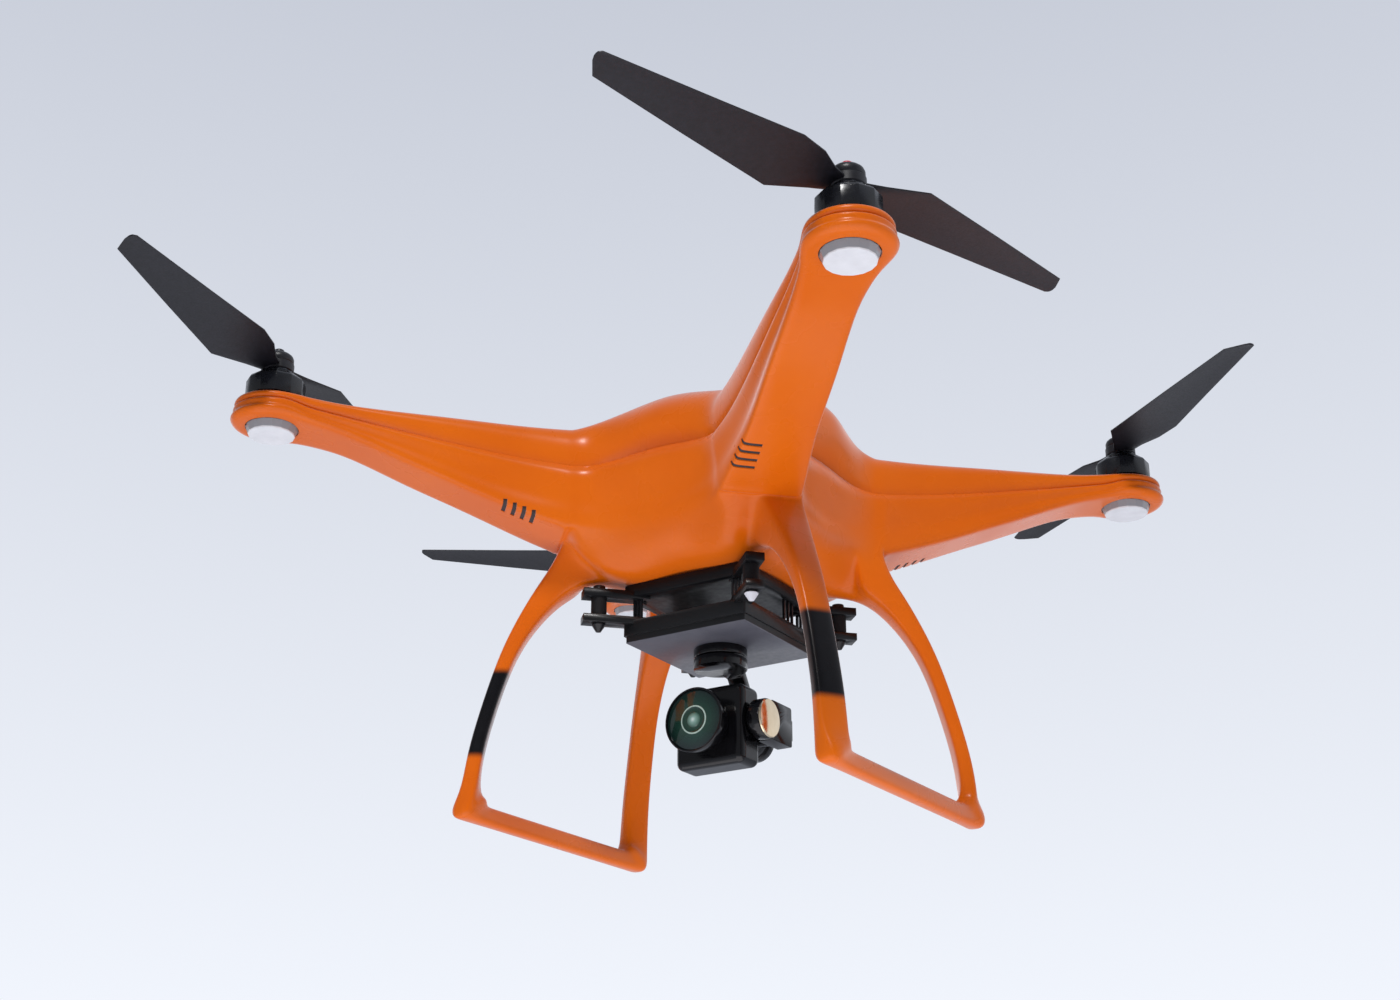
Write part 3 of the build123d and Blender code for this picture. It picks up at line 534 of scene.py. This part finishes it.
def skin_stations(facing):
    """Stations from the pod's tip to the plane between arms: each a list of (along, across, height)."""
    stations = []
    pod = arm_section(POD_CENTRE)
    for bearing in POD_BEARINGS:
        turn = radians(bearing)
        stations.append([(POD_CENTRE + w * sin(turn), w * cos(turn), z) for w, z in pod])
    neck = arm_section(NECK_AT)
    stations.append([(NECK_AT, max(0.92 * pod_w, w), z) for (pod_w, z), (w, _) in zip(pod, neck)])
    stations += [[(distance, w, z) for w, z in arm_section(distance)] for distance in ARM_STATIONS]
    for place, distance, shift in ((LIP_AT, LIP_SECTION, -LIP_DROP), (ROOT_AT, ROOT_AT, ROOT_LIFT)):
        section = arm_section(distance)
        stations.append([(place, w, z + shift if row > EDGE else z) for row, (w, z) in enumerate(section)])
    for t in BODY_STEPS:
        stations.append([body_point(row, t, facing) for row in range(LAST + 1)])
    return stations


# leg rings from the body down: outer distance and height, inner distance and height, width,
# with the distances from the craft's centre along the leg's bearing
LEG_RINGS = [
    (66.6, 99.0, 52.4, 92.6, 16.0), (71.2, 92.0, 60.0, 88.8, 13.4), (77.2, 81.0, 68.3, 80.2, 11.4),
    (82.2, 70, 75.2, 70, 10.6), (86.1, 59, 80.1, 59, 10.2), (90.9, 42, 85.1, 42, 10.4),
    (94.7, 26, 88.9, 26, 10.8), (96.0, 13, 89.7, 13, 11.2),
]
LEG_BEARING = radians(35.6)
LEG_CORNER = 0.92             # how far out the ring's corners are, 1 being a full square
BAR_X = 75.9
BAR_HALF_WIDTH = 3.1
BAR_Z = (1.6, 8.6)
BAR_CORNER = 0.82
RING_SPREAD = (1.0, 0.42, 0.0, -0.42)           # ring points along each side, from one corner on


def ring_pattern(corner):
    """Square walked from its outer corner nearest the X axis: (outward, towards the Y axis)."""
    def pull(along, across):
        return (corner * along, corner * across) if abs(along) == abs(across) == 1 else (along, across)

    walk = [(1, -s) for s in RING_SPREAD] + [(s, 1) for s in RING_SPREAD]
    walk += [(-1, s) for s in RING_SPREAD] + [(-s, -1) for s in RING_SPREAD]
    return [pull(*point) for point in walk]


def leg_ring(station, sx, sy):
    """Ring of a leg: a rounded square that leans with the leg."""
    outer, outer_z, inner, inner_z, width = station
    points = []
    for along, across in ring_pattern(LEG_CORNER):
        share = (along + 1) / 2
        distance = inner + (outer - inner) * share
        height = inner_z + (outer_z - inner_z) * share
        side = across * width / 2
        x = distance * cos(LEG_BEARING) - side * sin(LEG_BEARING)
        y = distance * sin(LEG_BEARING) + side * cos(LEG_BEARING)
        points.append((sx * x, sy * y, height))
    return points


def bar_ring(y_end, y_inner, z_end, z_inner, half_width, sx, sy):
    """Ring of the bar or its elbow: the leg's outer end side turns into the bar's underside."""
    points = []
    for along, across in ring_pattern(BAR_CORNER):
        share = (across + 1) / 2
        y = y_inner + (y_end - y_inner) * share
        z = z_inner + (z_end - z_inner) * share
        points.append((sx * (BAR_X + along * half_width), sy * y, z))
    return points


# at the bar's end and at the leg's inner side: where each is along Y, how high, and half the width
ELBOW_RINGS = (
    (60.4, 47.6, 5.2, 11.2, 5.3), (60.0, 46.6, 1.9, 9.4, 4.8), (56.0, 45.0, *BAR_Z, 3.7),
    (46, 42, *BAR_Z, BAR_HALF_WIDTH), (24, 24, *BAR_Z, BAR_HALF_WIDTH), (0, 0, *BAR_Z, BAR_HALF_WIDTH),
)
UPPER, LOWER, SKID = 0, 1, 2                    # tags of the faces: upper shell, lower shell, skids


def build_cage():
    """Vertices and faces of the cage, the tag of each face, and the creased edges."""
    keys, vertices, faces, tags, creases = {}, [], [], [], {}

    def vertex(point):
        key = tuple(round(c, 3) + 0.0 for c in point)
        if key not in keys:
            keys[key] = len(vertices)
            vertices.append(point)
        return keys[key]

    def face(points, tag):
        loop = list(dict.fromkeys(points))
        if len(loop) > 2:
            faces.append(loop)
            tags.append(tag)

    stations = {facing: skin_stations(facing) for facing in BODY_LINES}
    first_leg = len(stations["side"]) - len(BODY_STEPS) - 1
    leg_range = range(first_leg, first_leg + LEG_STEPS)
    for sx, sy in CORNERS.values():
        for toward_x in (True, False):
            grid = []
            for station in stations["side" if toward_x else "end"]:
                ring = []
                for along, across, z in station:
                    big, small = (along + across) / ROOT2, (along - across) / ROOT2
                    x, y = (big, small) if toward_x else (small, big)
                    ring.append(vertex((sx * x, sy * y, z)))
                grid.append(ring)
            for i in range(len(grid) - 1):
                for row in range(LAST):
                    if toward_x and i in leg_range and row >= EDGE:
                        continue
                    face([grid[i][row], grid[i][row + 1], grid[i + 1][row + 1], grid[i + 1][row]],
                         UPPER if row < GROOVE else LOWER)
                creases[(grid[i][GROOVE], grid[i + 1][GROOVE])] = GROOVE_CREASE
            if toward_x:
                near, far = grid[first_leg], grid[first_leg + LEG_STEPS]
                hole = near[EDGE:LAST] + [grid[i][LAST] for i in leg_range]
                hole += far[LAST:EDGE:-1] + [grid[i + 1][EDGE] for i in reversed(leg_range)]
        rings = [hole]
        rings += [[vertex(p) for p in leg_ring(station, sx, sy)] for station in LEG_RINGS]
        rings += [[vertex(p) for p in bar_ring(*ring, sx, sy)] for ring in ELBOW_RINGS]
        for number, (upper, lower) in enumerate(zip(rings, rings[1:])):
            for k in range(len(upper)):
                following = (k + 1) % len(upper)
                face([upper[k], upper[following], lower[following], lower[k]], LOWER if number == 0 else SKID)
    return vertices, faces, tags, creases


def build_skin(levels):
    """Subdivided skin; each face keeps its tag as its material index."""
    vertices, faces, tags, creases = build_cage()
    skin = make_object("skin", vertices, faces, None)
    skin.data.polygons.foreach_set("material_index", tags)
    for _ in (UPPER, LOWER, SKID):
        skin.data.materials.append(None)
    outward(skin)
    crease = skin.data.attributes.new("crease_edge", "FLOAT", "EDGE")
    for edge in skin.data.edges:
        pair = tuple(edge.vertices)
        crease.data[edge.index].value = creases.get(pair, creases.get(pair[::-1], 0.0))
    subdivide = skin.modifiers.new("subdivide", "SUBSURF")
    subdivide.levels = levels
    subdivide.render_levels = levels
    apply_modifiers(skin)
    return skin


# ---- cutters and solids of revolution ------------------------------------------------------------


def upright(a, b, level):
    return (a, b, level)


def facing_rear(a, b, level):
    """Outline across X and Z, lifted along Y."""
    return (a, level, b)


def circle(radius, sides, centre=(0, 0), phase=0.0):
    turns = [phase + 2 * pi * k / sides for k in range(sides)]
    return [(centre[0] + radius * cos(turn), centre[1] + radius * sin(turn)) for turn in turns]


def rounded_rectangle(half_a, half_b, radius, centre, steps=6):
    """Outline with arcs of that many steps at its corners."""
    points = []
    for quarter, (side_a, side_b) in enumerate(((1, 1), (-1, 1), (-1, -1), (1, -1))):
        for k in range(steps + 1):
            turn = radians(90 * (quarter + k / steps))
            points.append((centre[0] + side_a * (half_a - radius) + radius * cos(turn),
                           centre[1] + side_b * (half_b - radius) + radius * sin(turn)))
    return points


def prism(outline, low, high, place=upright):
    """Closed prism: an outline lifted from low to high and put in place by a function."""
    count = len(outline)
    vertices = [place(a, b, level) for level in (low, high) for a, b in outline]
    faces = [tuple(reversed(range(count))), tuple(range(count, 2 * count))]
    faces += [(k, (k + 1) % count, count + (k + 1) % count, count + k) for k in range(count)]
    return vertices, faces


def revolved(profile, sides, place=upright, phase=0.0):
    """Solid of revolution of a profile of (radius, height) that starts and ends on its axis."""
    vertices, rings, faces = [], [], []
    for radius, height in profile:
        if radius == 0:
            rings.append([len(vertices)] * sides)
            vertices.append(place(0, 0, height))
        else:
            rings.append([len(vertices) + k for k in range(sides)])
            vertices += [place(a, b, height) for a, b in circle(radius, sides, phase=phase)]
    for low, high in zip(rings, rings[1:]):
        for k in range(sides):
            following = (k + 1) % sides
            loop = list(dict.fromkeys([low[k], low[following], high[following], high[k]]))
            if len(loop) > 2:
                faces.append(loop)
    return vertices, faces


def joined(shapes):
    """Vertices and faces of several shapes as one."""
    vertices, faces = [], []
    for more, loops in shapes:
        faces += [tuple(len(vertices) + v for v in loop) for loop in loops]
        vertices += more
    return vertices, faces


def cut(piece, shapes, operation="DIFFERENCE"):
    """Cut the piece with closed shapes, or keep what is inside them."""
    cutter = outward(make_object("cutter", *joined(shapes), None, smooth=False))
    boolean = piece.modifiers.new("cut", "BOOLEAN")
    boolean.operation = operation
    boolean.object = cutter
    boolean.solver = "MANIFOLD"
    apply_modifiers(piece)
    bpy.data.objects.remove(cutter)
    return piece


def wall(piece, thickness):
    """Give an open surface its wall, grown inwards."""
    solid = piece.modifiers.new("wall", "SOLIDIFY")
    solid.thickness = thickness * MM
    solid.offset = -1
    return apply_modifiers(piece)


def sharp_above(piece, angle):
    """Smooth shading, broken where faces meet at more than the angle."""
    piece.data.set_sharp_from_angle(angle=radians(angle))
    return piece


def cap_holes(piece):
    """Close the open ends of a piece of skin."""
    work = bmesh.new()
    work.from_mesh(piece.data)
    bmesh.ops.holes_fill(work, edges=[e for e in work.edges if e.is_boundary], sides=0)
    bmesh.ops.recalc_face_normals(work, faces=work.faces)
    work.to_mesh(piece.data)
    work.free()
    return piece


# ---- shells, skids and battery cover -------------------------------------------------------------
SHELL_WALL = 1.5
LIGHT_SEAT = 10.1             # radius of the hole for an arm light
LIGHT_SEAT_Z = (139, 148.5)
VENT_AT = (75.8, 79.4, 83, 86.6)
VENT_WIDTH = 1.5
VENT_ACROSS = (5.6, 15.0)     # from the arm's middle plane, on the side nearer to the front or the rear
VENT_BELOW = 1.8              # under the arm's edge line
VENT_ABOVE = 1.6
VENT_INSET = 0.35             # of the black insert behind the skin
WINDOW_Y = (36, 70)           # a cut through the rear wall starts inside the body and ends behind it
WINDOW_CORNER = 4.0
WINDOW_GAP = 0.35
COVER_WALL = 2.0
BUTTON_GAP = 0.3
CHARGE_LIGHT_X = (-13, -8.5, -4)
CHARGE_LIGHT_HOLE = 1.15
CHARGE_LIGHT = [(0, 46.6), (1.0, 46.6), (1.0, 50.4), (0.8, 50.75), (0.4, 50.9), (0, 50.95)]
MOTOR_AT = {
    corner: (sx * POD_CENTRE / ROOT2, sy * POD_CENTRE / ROOT2) for corner, (sx, sy) in CORNERS.items()
}


def vent_slots(grow):
    """Short slots across the edge between an arm's underside and its side."""
    slots = []
    for sx, sy in CORNERS.values():
        for distance in VENT_AT:
            edge = arm_section(distance)[EDGE][1]
            outline = []
            for along, across in ((-1, 0), (1, 0), (1, 1), (-1, 1)):
                reach = distance + along * (VENT_WIDTH / 2 + grow)
                side = VENT_ACROSS[across] + (grow if across else -grow)
                outline.append((sx * (reach - side) / ROOT2, sy * (reach + side) / ROOT2))
            slots.append(prism(outline, edge - VENT_BELOW - grow, edge + VENT_ABOVE + grow))
    return slots


def window(grow):
    """Prism through the rear wall, as large as the battery cover or a little larger."""
    (x_low, _, z_low), (x_high, _, z_high) = box_mm("battery_cover")
    centre = ((x_low + x_high) / 2, (z_low + z_high) / 2)
    outline = rounded_rectangle((x_high - x_low) / 2 + grow, (z_high - z_low) / 2 + grow,
                                WINDOW_CORNER + grow, centre)
    return prism(outline, *WINDOW_Y, facing_rear)


def part_of_skin(skin, tags, name, material, inside=None):
    """Copy the faces with those tags, or those whose middle lies inside, into an object of their own."""
    mesh = skin.data
    coordinates = np.empty(len(mesh.vertices) * 3, np.float32)
    mesh.vertices.foreach_get("co", coordinates)
    coordinates = coordinates.reshape(-1, 3)
    chosen = [tuple(p.vertices) for p in mesh.polygons
              if p.material_index in tags and (inside is None or inside(p.center / MM))]
    used = sorted({v for loop in chosen for v in loop})
    order = {v: i for i, v in enumerate(used)}
    return make_object(name, coordinates[used].tolist(), [[order[v] for v in loop] for loop in chosen],
                       material, scale=1)


def make_shells(skin):
    """Upper and lower shell as thin walls with their openings, and the inserts behind the vents."""
    seats = [prism(circle(LIGHT_SEAT, 64, centre), *LIGHT_SEAT_Z) for centre in MOTOR_AT.values()]
    paint = shell_paint()
    top = part_of_skin(skin, (UPPER,), "shell_top", paint)
    cut(wall(top, SHELL_WALL), [window(WINDOW_GAP)])
    bottom = part_of_skin(skin, (LOWER,), "shell_bottom", paint)
    cut(wall(bottom, SHELL_WALL), [window(WINDOW_GAP)] + seats + vent_slots(0.0))
    for piece, node in ((top, "upper_shell"), (bottom, "lower_shell")):
        sharp_above(piece, 40)
        show(piece, "airframe", "shell_plastic", node)

    inserts = part_of_skin(skin, (LOWER,), "vent_backing", vent_plastic())
    wall(inserts, SHELL_WALL)
    shrink = inserts.modifiers.new("inset", "DISPLACE")
    shrink.strength = -VENT_INSET * MM
    shrink.mid_level = 0
    apply_modifiers(inserts)
    cut(inserts, vent_slots(0.1), "INTERSECT")
    sharp_above(inserts, 30)
    show(inserts, "airframe", "vent_black", "vent_inserts")


def make_skids(skin):
    paint = skid_paint()
    for side, sign in (("left", 1), ("right", -1)):
        skid = part_of_skin(skin, (SKID,), f"skid_{side}", paint, lambda middle: sign * middle.x > 0)
        cap_holes(skid)
        sharp_above(skid, 60)
        show(skid, "airframe", "shell_plastic", f"landing_skid_{side}")


def near_window(middle):
    """Whether a face of the skin lies in a patch somewhat larger than the battery cover."""
    return middle.y > 30 and abs(middle.x) < 32 and 100 < middle.z < 152


def make_battery_cover(skin):
    """Piece of the rear wall that slides out with the battery, its button hole and charge lights."""
    cover = part_of_skin(skin, (UPPER, LOWER), "battery_door", shell_paint(), near_window)
    cut(wall(cover, COVER_WALL), [window(0.0)], "INTERSECT")
    (x_low, _, z_low), (x_high, _, z_high) = box_mm("power_button")
    button = ((x_low + x_high) / 2, (z_low + z_high) / 2)
    lights = [(x, button[1]) for x in CHARGE_LIGHT_X]
    holes = [circle((x_high - x_low) / 2 + BUTTON_GAP, 48, button)]
    holes += [circle(CHARGE_LIGHT_HOLE, 24, centre) for centre in lights]
    cut(cover, [prism(hole, *WINDOW_Y, facing_rear) for hole in holes])
    sharp_above(cover, 40)
    show(cover, "battery", "shell_plastic", "battery_cover")

    lamps = joined([revolved(CHARGE_LIGHT, 24, lambda a, b, level, at=centre: (at[0] + a, level, at[1] + b))
                    for centre in lights])
    piece = sharp_above(outward(make_object("charge_lamps", *lamps, indicator_lens())), 40)
    show(piece, "battery", "indicator", "battery_lights")


# ---- rotors --------------------------------------------------------------------------------------
# edges of a blade: distance from the hub's middle and how far behind or ahead of the blade's line
BLADE_TRAILING = ((3, -4.5), (10, -8), (22.5, -15.2), (60, -10.2), (98.5, -4.7), (102.6, 0.8), (103.4, 2.6))
BLADE_LEADING = ((3, 3.2), (10, 5), (18, 9), (29, 11.2), (60, 8.8), (98.5, 6.1), (102.6, 5.8), (103.4, 5))
BLADE_STATIONS = (
    3, 6.5, 10, 14, 18, 20.5, 22.5, 25.5, 29, 36, 44, 52, 60, 68, 76, 85, 92, 98.5, 102.6, 103.4,
)
BLADE_THICKNESS = ((3, 2.6), (10, 2.0), (29, 1.25), (103, 0.7))
BLADE_CAMBER = 0.035
BLADE_PITCH = radians(5)
BLADE_Z = 168.9
BLADE_MIDDLE = 0.65           # of the section at its edges, above BLADE_Z
BLADE_SHARES = (0.0, 0.06, 0.2, 0.36, 0.52, 0.68, 0.84, 0.96, 1.0)
PROPELLER_ANGLES = {"front_left": 251.9, "front_right": 283.9, "rear_left": -44.4, "rear_right": 218.0}
RED_TIPPED = ("front_left", "rear_right")

# profiles of radius and height
HUB = [(0, 168.1), (5.8, 168.1), (6.2, 168.5), (6.2, 171.4), (5.8, 171.9), (0, 171.9)]
BELL = [
    (0, 168), (6.2, 168), (6.5, 167.3), (10.7, 164.1), (11.2, 163.3), (11.2, 156.2), (9.6, 156.2),
    (9.6, 163.6), (8.6, 164.8), (1.5, 165.2), (1.5, 152), (0, 152),
]
NUT = [
    (0, 172), (5.7, 172), (5.9, 172.3), (5.9, 173.8), (5.5, 174.8), (4.6, 175.6), (3.3, 176.2),
    (2.0, 176.5), (2.0, 177.3), (1.8, 177.8), (1.2, 178.15), (0, 178.2),
]
BELL_SIDES = 12
BELL_SLOTS = 6
BELL_SLOT_AT = 8.1            # middle of a cooling slot, from the motor's axis
BELL_SLOT_HALF = (0.85, 2.0)
BELL_SLOT_Z = (163, 170)


def blade(centre, angle):
    """One cambered blade: rings of its thin section from the hub to the tip."""
    outward_dir = Vector((cos(angle), sin(angle), 0))
    chord_dir = Vector((-sin(angle) * cos(BLADE_PITCH), cos(angle) * cos(BLADE_PITCH), sin(BLADE_PITCH)))
    lift_dir = outward_dir.cross(chord_dir)
    vertices, faces = [], []
    for station in BLADE_STATIONS:
        back = float(np.interp(station, *zip(*BLADE_TRAILING)))
        front = float(np.interp(station, *zip(*BLADE_LEADING)))
        thick = float(np.interp(station, *zip(*BLADE_THICKNESS)))
        camber = BLADE_CAMBER * (front - back) * float(np.interp(station, (3, 14), (0, 1)))
        upper, lower = [], []
        for share in BLADE_SHARES:
            bulge = 4 * share * (1 - share)
            half = 0.5 * thick * (0.3 + 0.7 * bulge ** 0.7)
            middle = BLADE_MIDDLE + camber * bulge
            point = Vector((*centre, BLADE_Z)) + outward_dir * station
            point += chord_dir * (back + (front - back) * share)
            upper.append(point + lift_dir * (middle + half))
            lower.append(point + lift_dir * (middle - half))
        vertices += upper + lower[::-1]
    size = 2 * len(BLADE_SHARES)
    for ring in range(len(BLADE_STATIONS) - 1):
        for k in range(size):
            near = (ring * size + k, ring * size + (k + 1) % size)
            faces.append((*near, near[1] + size, near[0] + size))
    faces += [tuple(range(size)), tuple(range(len(vertices) - size, len(vertices)))]
    return vertices, faces


def make_rotor(corner):
    """Propeller, slotted motor bell and domed nut of one arm."""
    centre = MOTOR_AT[corner]
    body = f"rotor_{corner}"

    def at_motor(a, b, level):
        return (centre[0] + a, centre[1] + b, level)

    propeller = outward(make_object(f"prop_{corner}", *revolved(HUB, 48, at_motor), propeller_plastic()))
    for half_turn in (0, 180):
        cut(propeller, [blade(centre, radians(PROPELLER_ANGLES[corner] + half_turn))], "UNION")
    sharp_above(propeller, 28)
    show(propeller, body, "propeller_plastic", f"propeller_{corner}")

    shape = revolved(BELL, BELL_SIDES, at_motor, pi / BELL_SIDES)
    can = outward(make_object(f"bell_{corner}", *shape, bell_metal(), smooth=False))
    slot = rounded_rectangle(*BELL_SLOT_HALF, 0.8, (BELL_SLOT_AT, 0), 3)
    slots = []
    for k in range(BELL_SLOTS):
        turn = 2 * pi * (k + 0.5) / BELL_SLOTS
        outline = [(a * cos(turn) - b * sin(turn), a * sin(turn) + b * cos(turn)) for a, b in slot]
        slots.append(prism(outline, *BELL_SLOT_Z, at_motor))
    cut(can, slots)
    soften(can, 0.3, 2, 20)
    show(can, body, "motor_black", f"motor_bell_{corner}")

    red = corner in RED_TIPPED
    dome = outward(make_object(f"nut_{corner}", *revolved(NUT, 48, at_motor), nut_finish(red)))
    sharp_above(dome, 50)
    show(dome, body, "nut_black", f"prop_nut_{corner}")


# ---- pieces that keep their CAD shape with eased edges -------------------------------------------
# node, name of its copy, body, slot, finish and width of the rounding
EASED = (
    ("damper_upper_plate", "upper_plate", "airframe", "plate_gloss", plate_gloss, 0.35),
    ("damper_lower_plate", "lower_plate", "airframe", "plate_gloss", lower_plate_painted_reflection, 0.3),
    ("yaw_arm", "pan_arm", "gimbal_yaw", "gimbal_gloss", gimbal_gloss, 0.4),
    ("yaw_motor", "pan_motor", "airframe", "gimbal_gloss", gimbal_gloss, 0.5),
    ("roll_motor", "roll_drum", "gimbal_yaw", "gimbal_gloss", gimbal_gloss, 0.4),
    ("roll_bracket", "roll_frame", "gimbal_roll", "gimbal_gloss", gimbal_gloss, 0.45),
    ("pitch_motor", "tilt_motor", "gimbal_roll", "gimbal_gloss", gimbal_gloss, 0.35),
)


def eased(node, name, material, width):
    """A copy of a CAD node with its edges rounded as a moulding's are."""
    mesh = NODES[node].data.copy()
    mesh.materials.clear()
    mesh.materials.append(material)
    piece = bpy.data.objects.new(name, mesh)
    bpy.context.scene.collection.objects.link(piece)
    work = bmesh.new()
    work.from_mesh(mesh)
    bmesh.ops.remove_doubles(work, verts=work.verts, dist=1e-6)
    bmesh.ops.dissolve_limit(work, angle_limit=radians(1.5), verts=work.verts, edges=work.edges)
    work.to_mesh(mesh)
    work.free()
    return soften(piece, width, 2, 30)


# ---- camera --------------------------------------------------------------------------------------


def make_lens():
    """Hood with a stepped rim, and the coated glass with a raised ring and a domed middle."""
    (x_low, y_front, z_low), (x_high, _, z_high) = box_mm("lens_hood")
    axis = ((x_low + x_high) / 2, (z_low + z_high) / 2)

    def along_lens(a, b, level):
        return (axis[0] + a, -level, axis[1] + b)

    rim = (x_high - x_low) / 2
    front = -y_front
    glass = front - 0.55
    hood = [
        (0, 4.7), (8.2, 4.7), (8.2, 9.0), (9.2, 9.3), (10.6, 12.6), (11.9, 16.4), (rim, 17.4),
        (rim, front - 0.45), (rim - 0.2, front - 0.1), (rim - 0.45, front), (rim - 0.75, front - 0.1),
        (11.45, glass + 0.1), (11.45, glass - 1.3), (0, glass - 1.3),
    ]
    ring = outward(make_object("lens_ring", *revolved(hood, 96, along_lens), gimbal_gloss()))
    sharp_above(ring, 25)
    show(ring, "camera", "gimbal_gloss", "lens_hood")

    face = [
        (0, glass - 1.25), (11.4, glass - 1.25), (11.4, glass - 0.25), (11.15, glass - 0.05), (5.5, glass),
        (5.3, glass + 0.12), (5.05, glass + 0.16), (4.8, glass + 0.1), (4.6, glass - 0.1),
        (3.1, glass - 0.2), (2.8, glass - 0.05), (2.3, glass + 0.25), (1.5, glass + 0.5),
        (0.7, glass + 0.62), (0, glass + 0.65),
    ]
    lens = outward(make_object("lens_front", *revolved(face, 96, along_lens), lens_coating_and_reflection(axis)))
    sharp_above(lens, 50)
    show(lens, "camera", "lens_glass", "lens_glass")


def make_tilt_cap():
    """Polished cap of the tilt motor, a little domed."""
    (start, y_low, z_low), (end, y_high, z_high) = box_mm("pitch_end_cap")
    middle = ((y_low + y_high) / 2, (z_low + z_high) / 2)
    radius = (y_high - y_low) / 2

    def along_axis(a, b, level):
        return (level, middle[0] + a, middle[1] + b)

    profile = [(0, start + 0.02), (radius, start + 0.02), (radius, end - 0.75), (radius - 0.3, end - 0.45),
               (5.2, end - 0.24), (3.4, end - 0.1), (1.7, end - 0.03), (0, end)]
    cap = outward(make_object("tilt_cap", *revolved(profile, 96, along_axis), mirror_cap()))
    sharp_above(cap, 25)
    show(cap, "gimbal_roll", "mirror_cap", "pitch_end_cap")


# ---- the object ----------------------------------------------------------------------------------
skin = build_skin(2)
make_shells(skin)
make_skids(skin)
make_battery_cover(skin)
bpy.data.objects.remove(skin)
for corner in CORNERS:
    make_rotor(corner)
make_lens()
make_tilt_cap()
for node, name, body, slot, finish, width in EASED:
    show(eased(node, name, finish(), width), body, slot, node)

# the CAD nodes themselves, by the slot in their material's name
finished = {slot: finish() for slot, finish in FINISHES.items()}
for piece in NODES.values():
    piece.data.materials[0] = finished[piece.data.materials[0].name.split(".")[0]]

# ---- stage ---------------------------------------------------------------------------------------
CAMERA_AT = (0.35426, -0.58211, -0.15289)
CAMERA_BEARING = radians(31.985)
CAMERA_RISE = radians(22.666)
CAMERA_LENS = 47.85
FLOOR_Z = -0.75               # below the camera, which looks up at the craft in flight
FLOOR_HALF = 6.0
LIT_POINT = (0, 0, 0.1)
FRONT_DIM = 0.36              # of the sky in front of the craft, where the lamps stand
FRONT_BLEND = 0.4             # how far either side of the middle the sky takes to brighten


def make_camera():
    data = bpy.data.cameras.new("camera")
    data.lens = CAMERA_LENS
    data.sensor_width = 36
    camera = bpy.data.objects.new("camera", data)
    bpy.context.scene.collection.objects.link(camera)
    look = Vector((-sin(CAMERA_BEARING) * cos(CAMERA_RISE), cos(CAMERA_BEARING) * cos(CAMERA_RISE),
                   sin(CAMERA_RISE)))
    camera.location = CAMERA_AT
    camera.rotation_mode = "QUATERNION"
    camera.rotation_quaternion = look.to_track_quat("-Z", "Y")
    bpy.context.scene.camera = camera


def make_world():
    """Pale sky, brightest near the horizon."""
    world = bpy.data.worlds.new("studio")
    bpy.context.scene.world = world
    world.use_nodes = True
    tree = world.node_tree
    axes = place_axes(tree, "Generated")
    shade = ramp(tree, axes["Z"], srgb(243, 247, 255), srgb(199, 204, 216), 0.10, 0.62)
    front = smooth_step(tree, axes["Y"], -FRONT_BLEND, FRONT_BLEND, FRONT_DIM, 1.0)
    product = add(tree, "ShaderNodeMix", data_type="RGBA", blend_type="MULTIPLY", Factor=1.0)
    tree.links.new(shade, product.inputs[MIX_FIRST])
    tree.links.new(front, product.inputs[MIX_SECOND])
    tree.links.new(product.outputs[MIX_RESULT], tree.nodes["Background"].inputs["Color"])
    tree.nodes["Background"].inputs["Strength"].default_value = 1.0


def make_floor():
    material, tree, shader = new_material("floor_pale")
    tint = ramp(tree, object_noise(tree, 60), srgb(240, 242, 247), srgb(241, 243, 248))
    tree.links.new(tint, shader.inputs["Base Color"])
    shader.inputs["Roughness"].default_value = 0.7
    corners = [(a * FLOOR_HALF, b * FLOOR_HALF, 0) for a, b in ((-1, -1), (1, -1), (1, 1), (-1, 1))]
    floor = make_object("floor", corners, [(0, 1, 2, 3)], material, scale=1)
    floor.location.z = FLOOR_Z


def area_light(name, place, size, power, colour=(1, 1, 1), mirrored=True):
    """Square lamp aimed at the middle of the craft."""
    data = bpy.data.lights.new(name, "AREA")
    data.size = size
    data.energy = power
    data.color = colour
    light = bpy.data.objects.new(name, data)
    bpy.context.scene.collection.objects.link(light)
    light.location = place
    light.rotation_mode = "QUATERNION"
    light.rotation_quaternion = (Vector(LIT_POINT) - Vector(place)).to_track_quat("-Z", "Y")
    light.visible_camera = False
    light.visible_glossy = mirrored


make_camera()
make_world()
make_floor()
area_light("key", (0.52, -1.2, 1.6), 0.35, 24)
area_light("fill", (-0.4, -2.2, 0.5), 1.6, 4, mirrored=False)
area_light("from_below", (0.1, -0.2, -0.6), 1.2, 6, (1.0, 0.94, 0.95))
bpy.context.scene.view_settings.view_transform = "Standard"
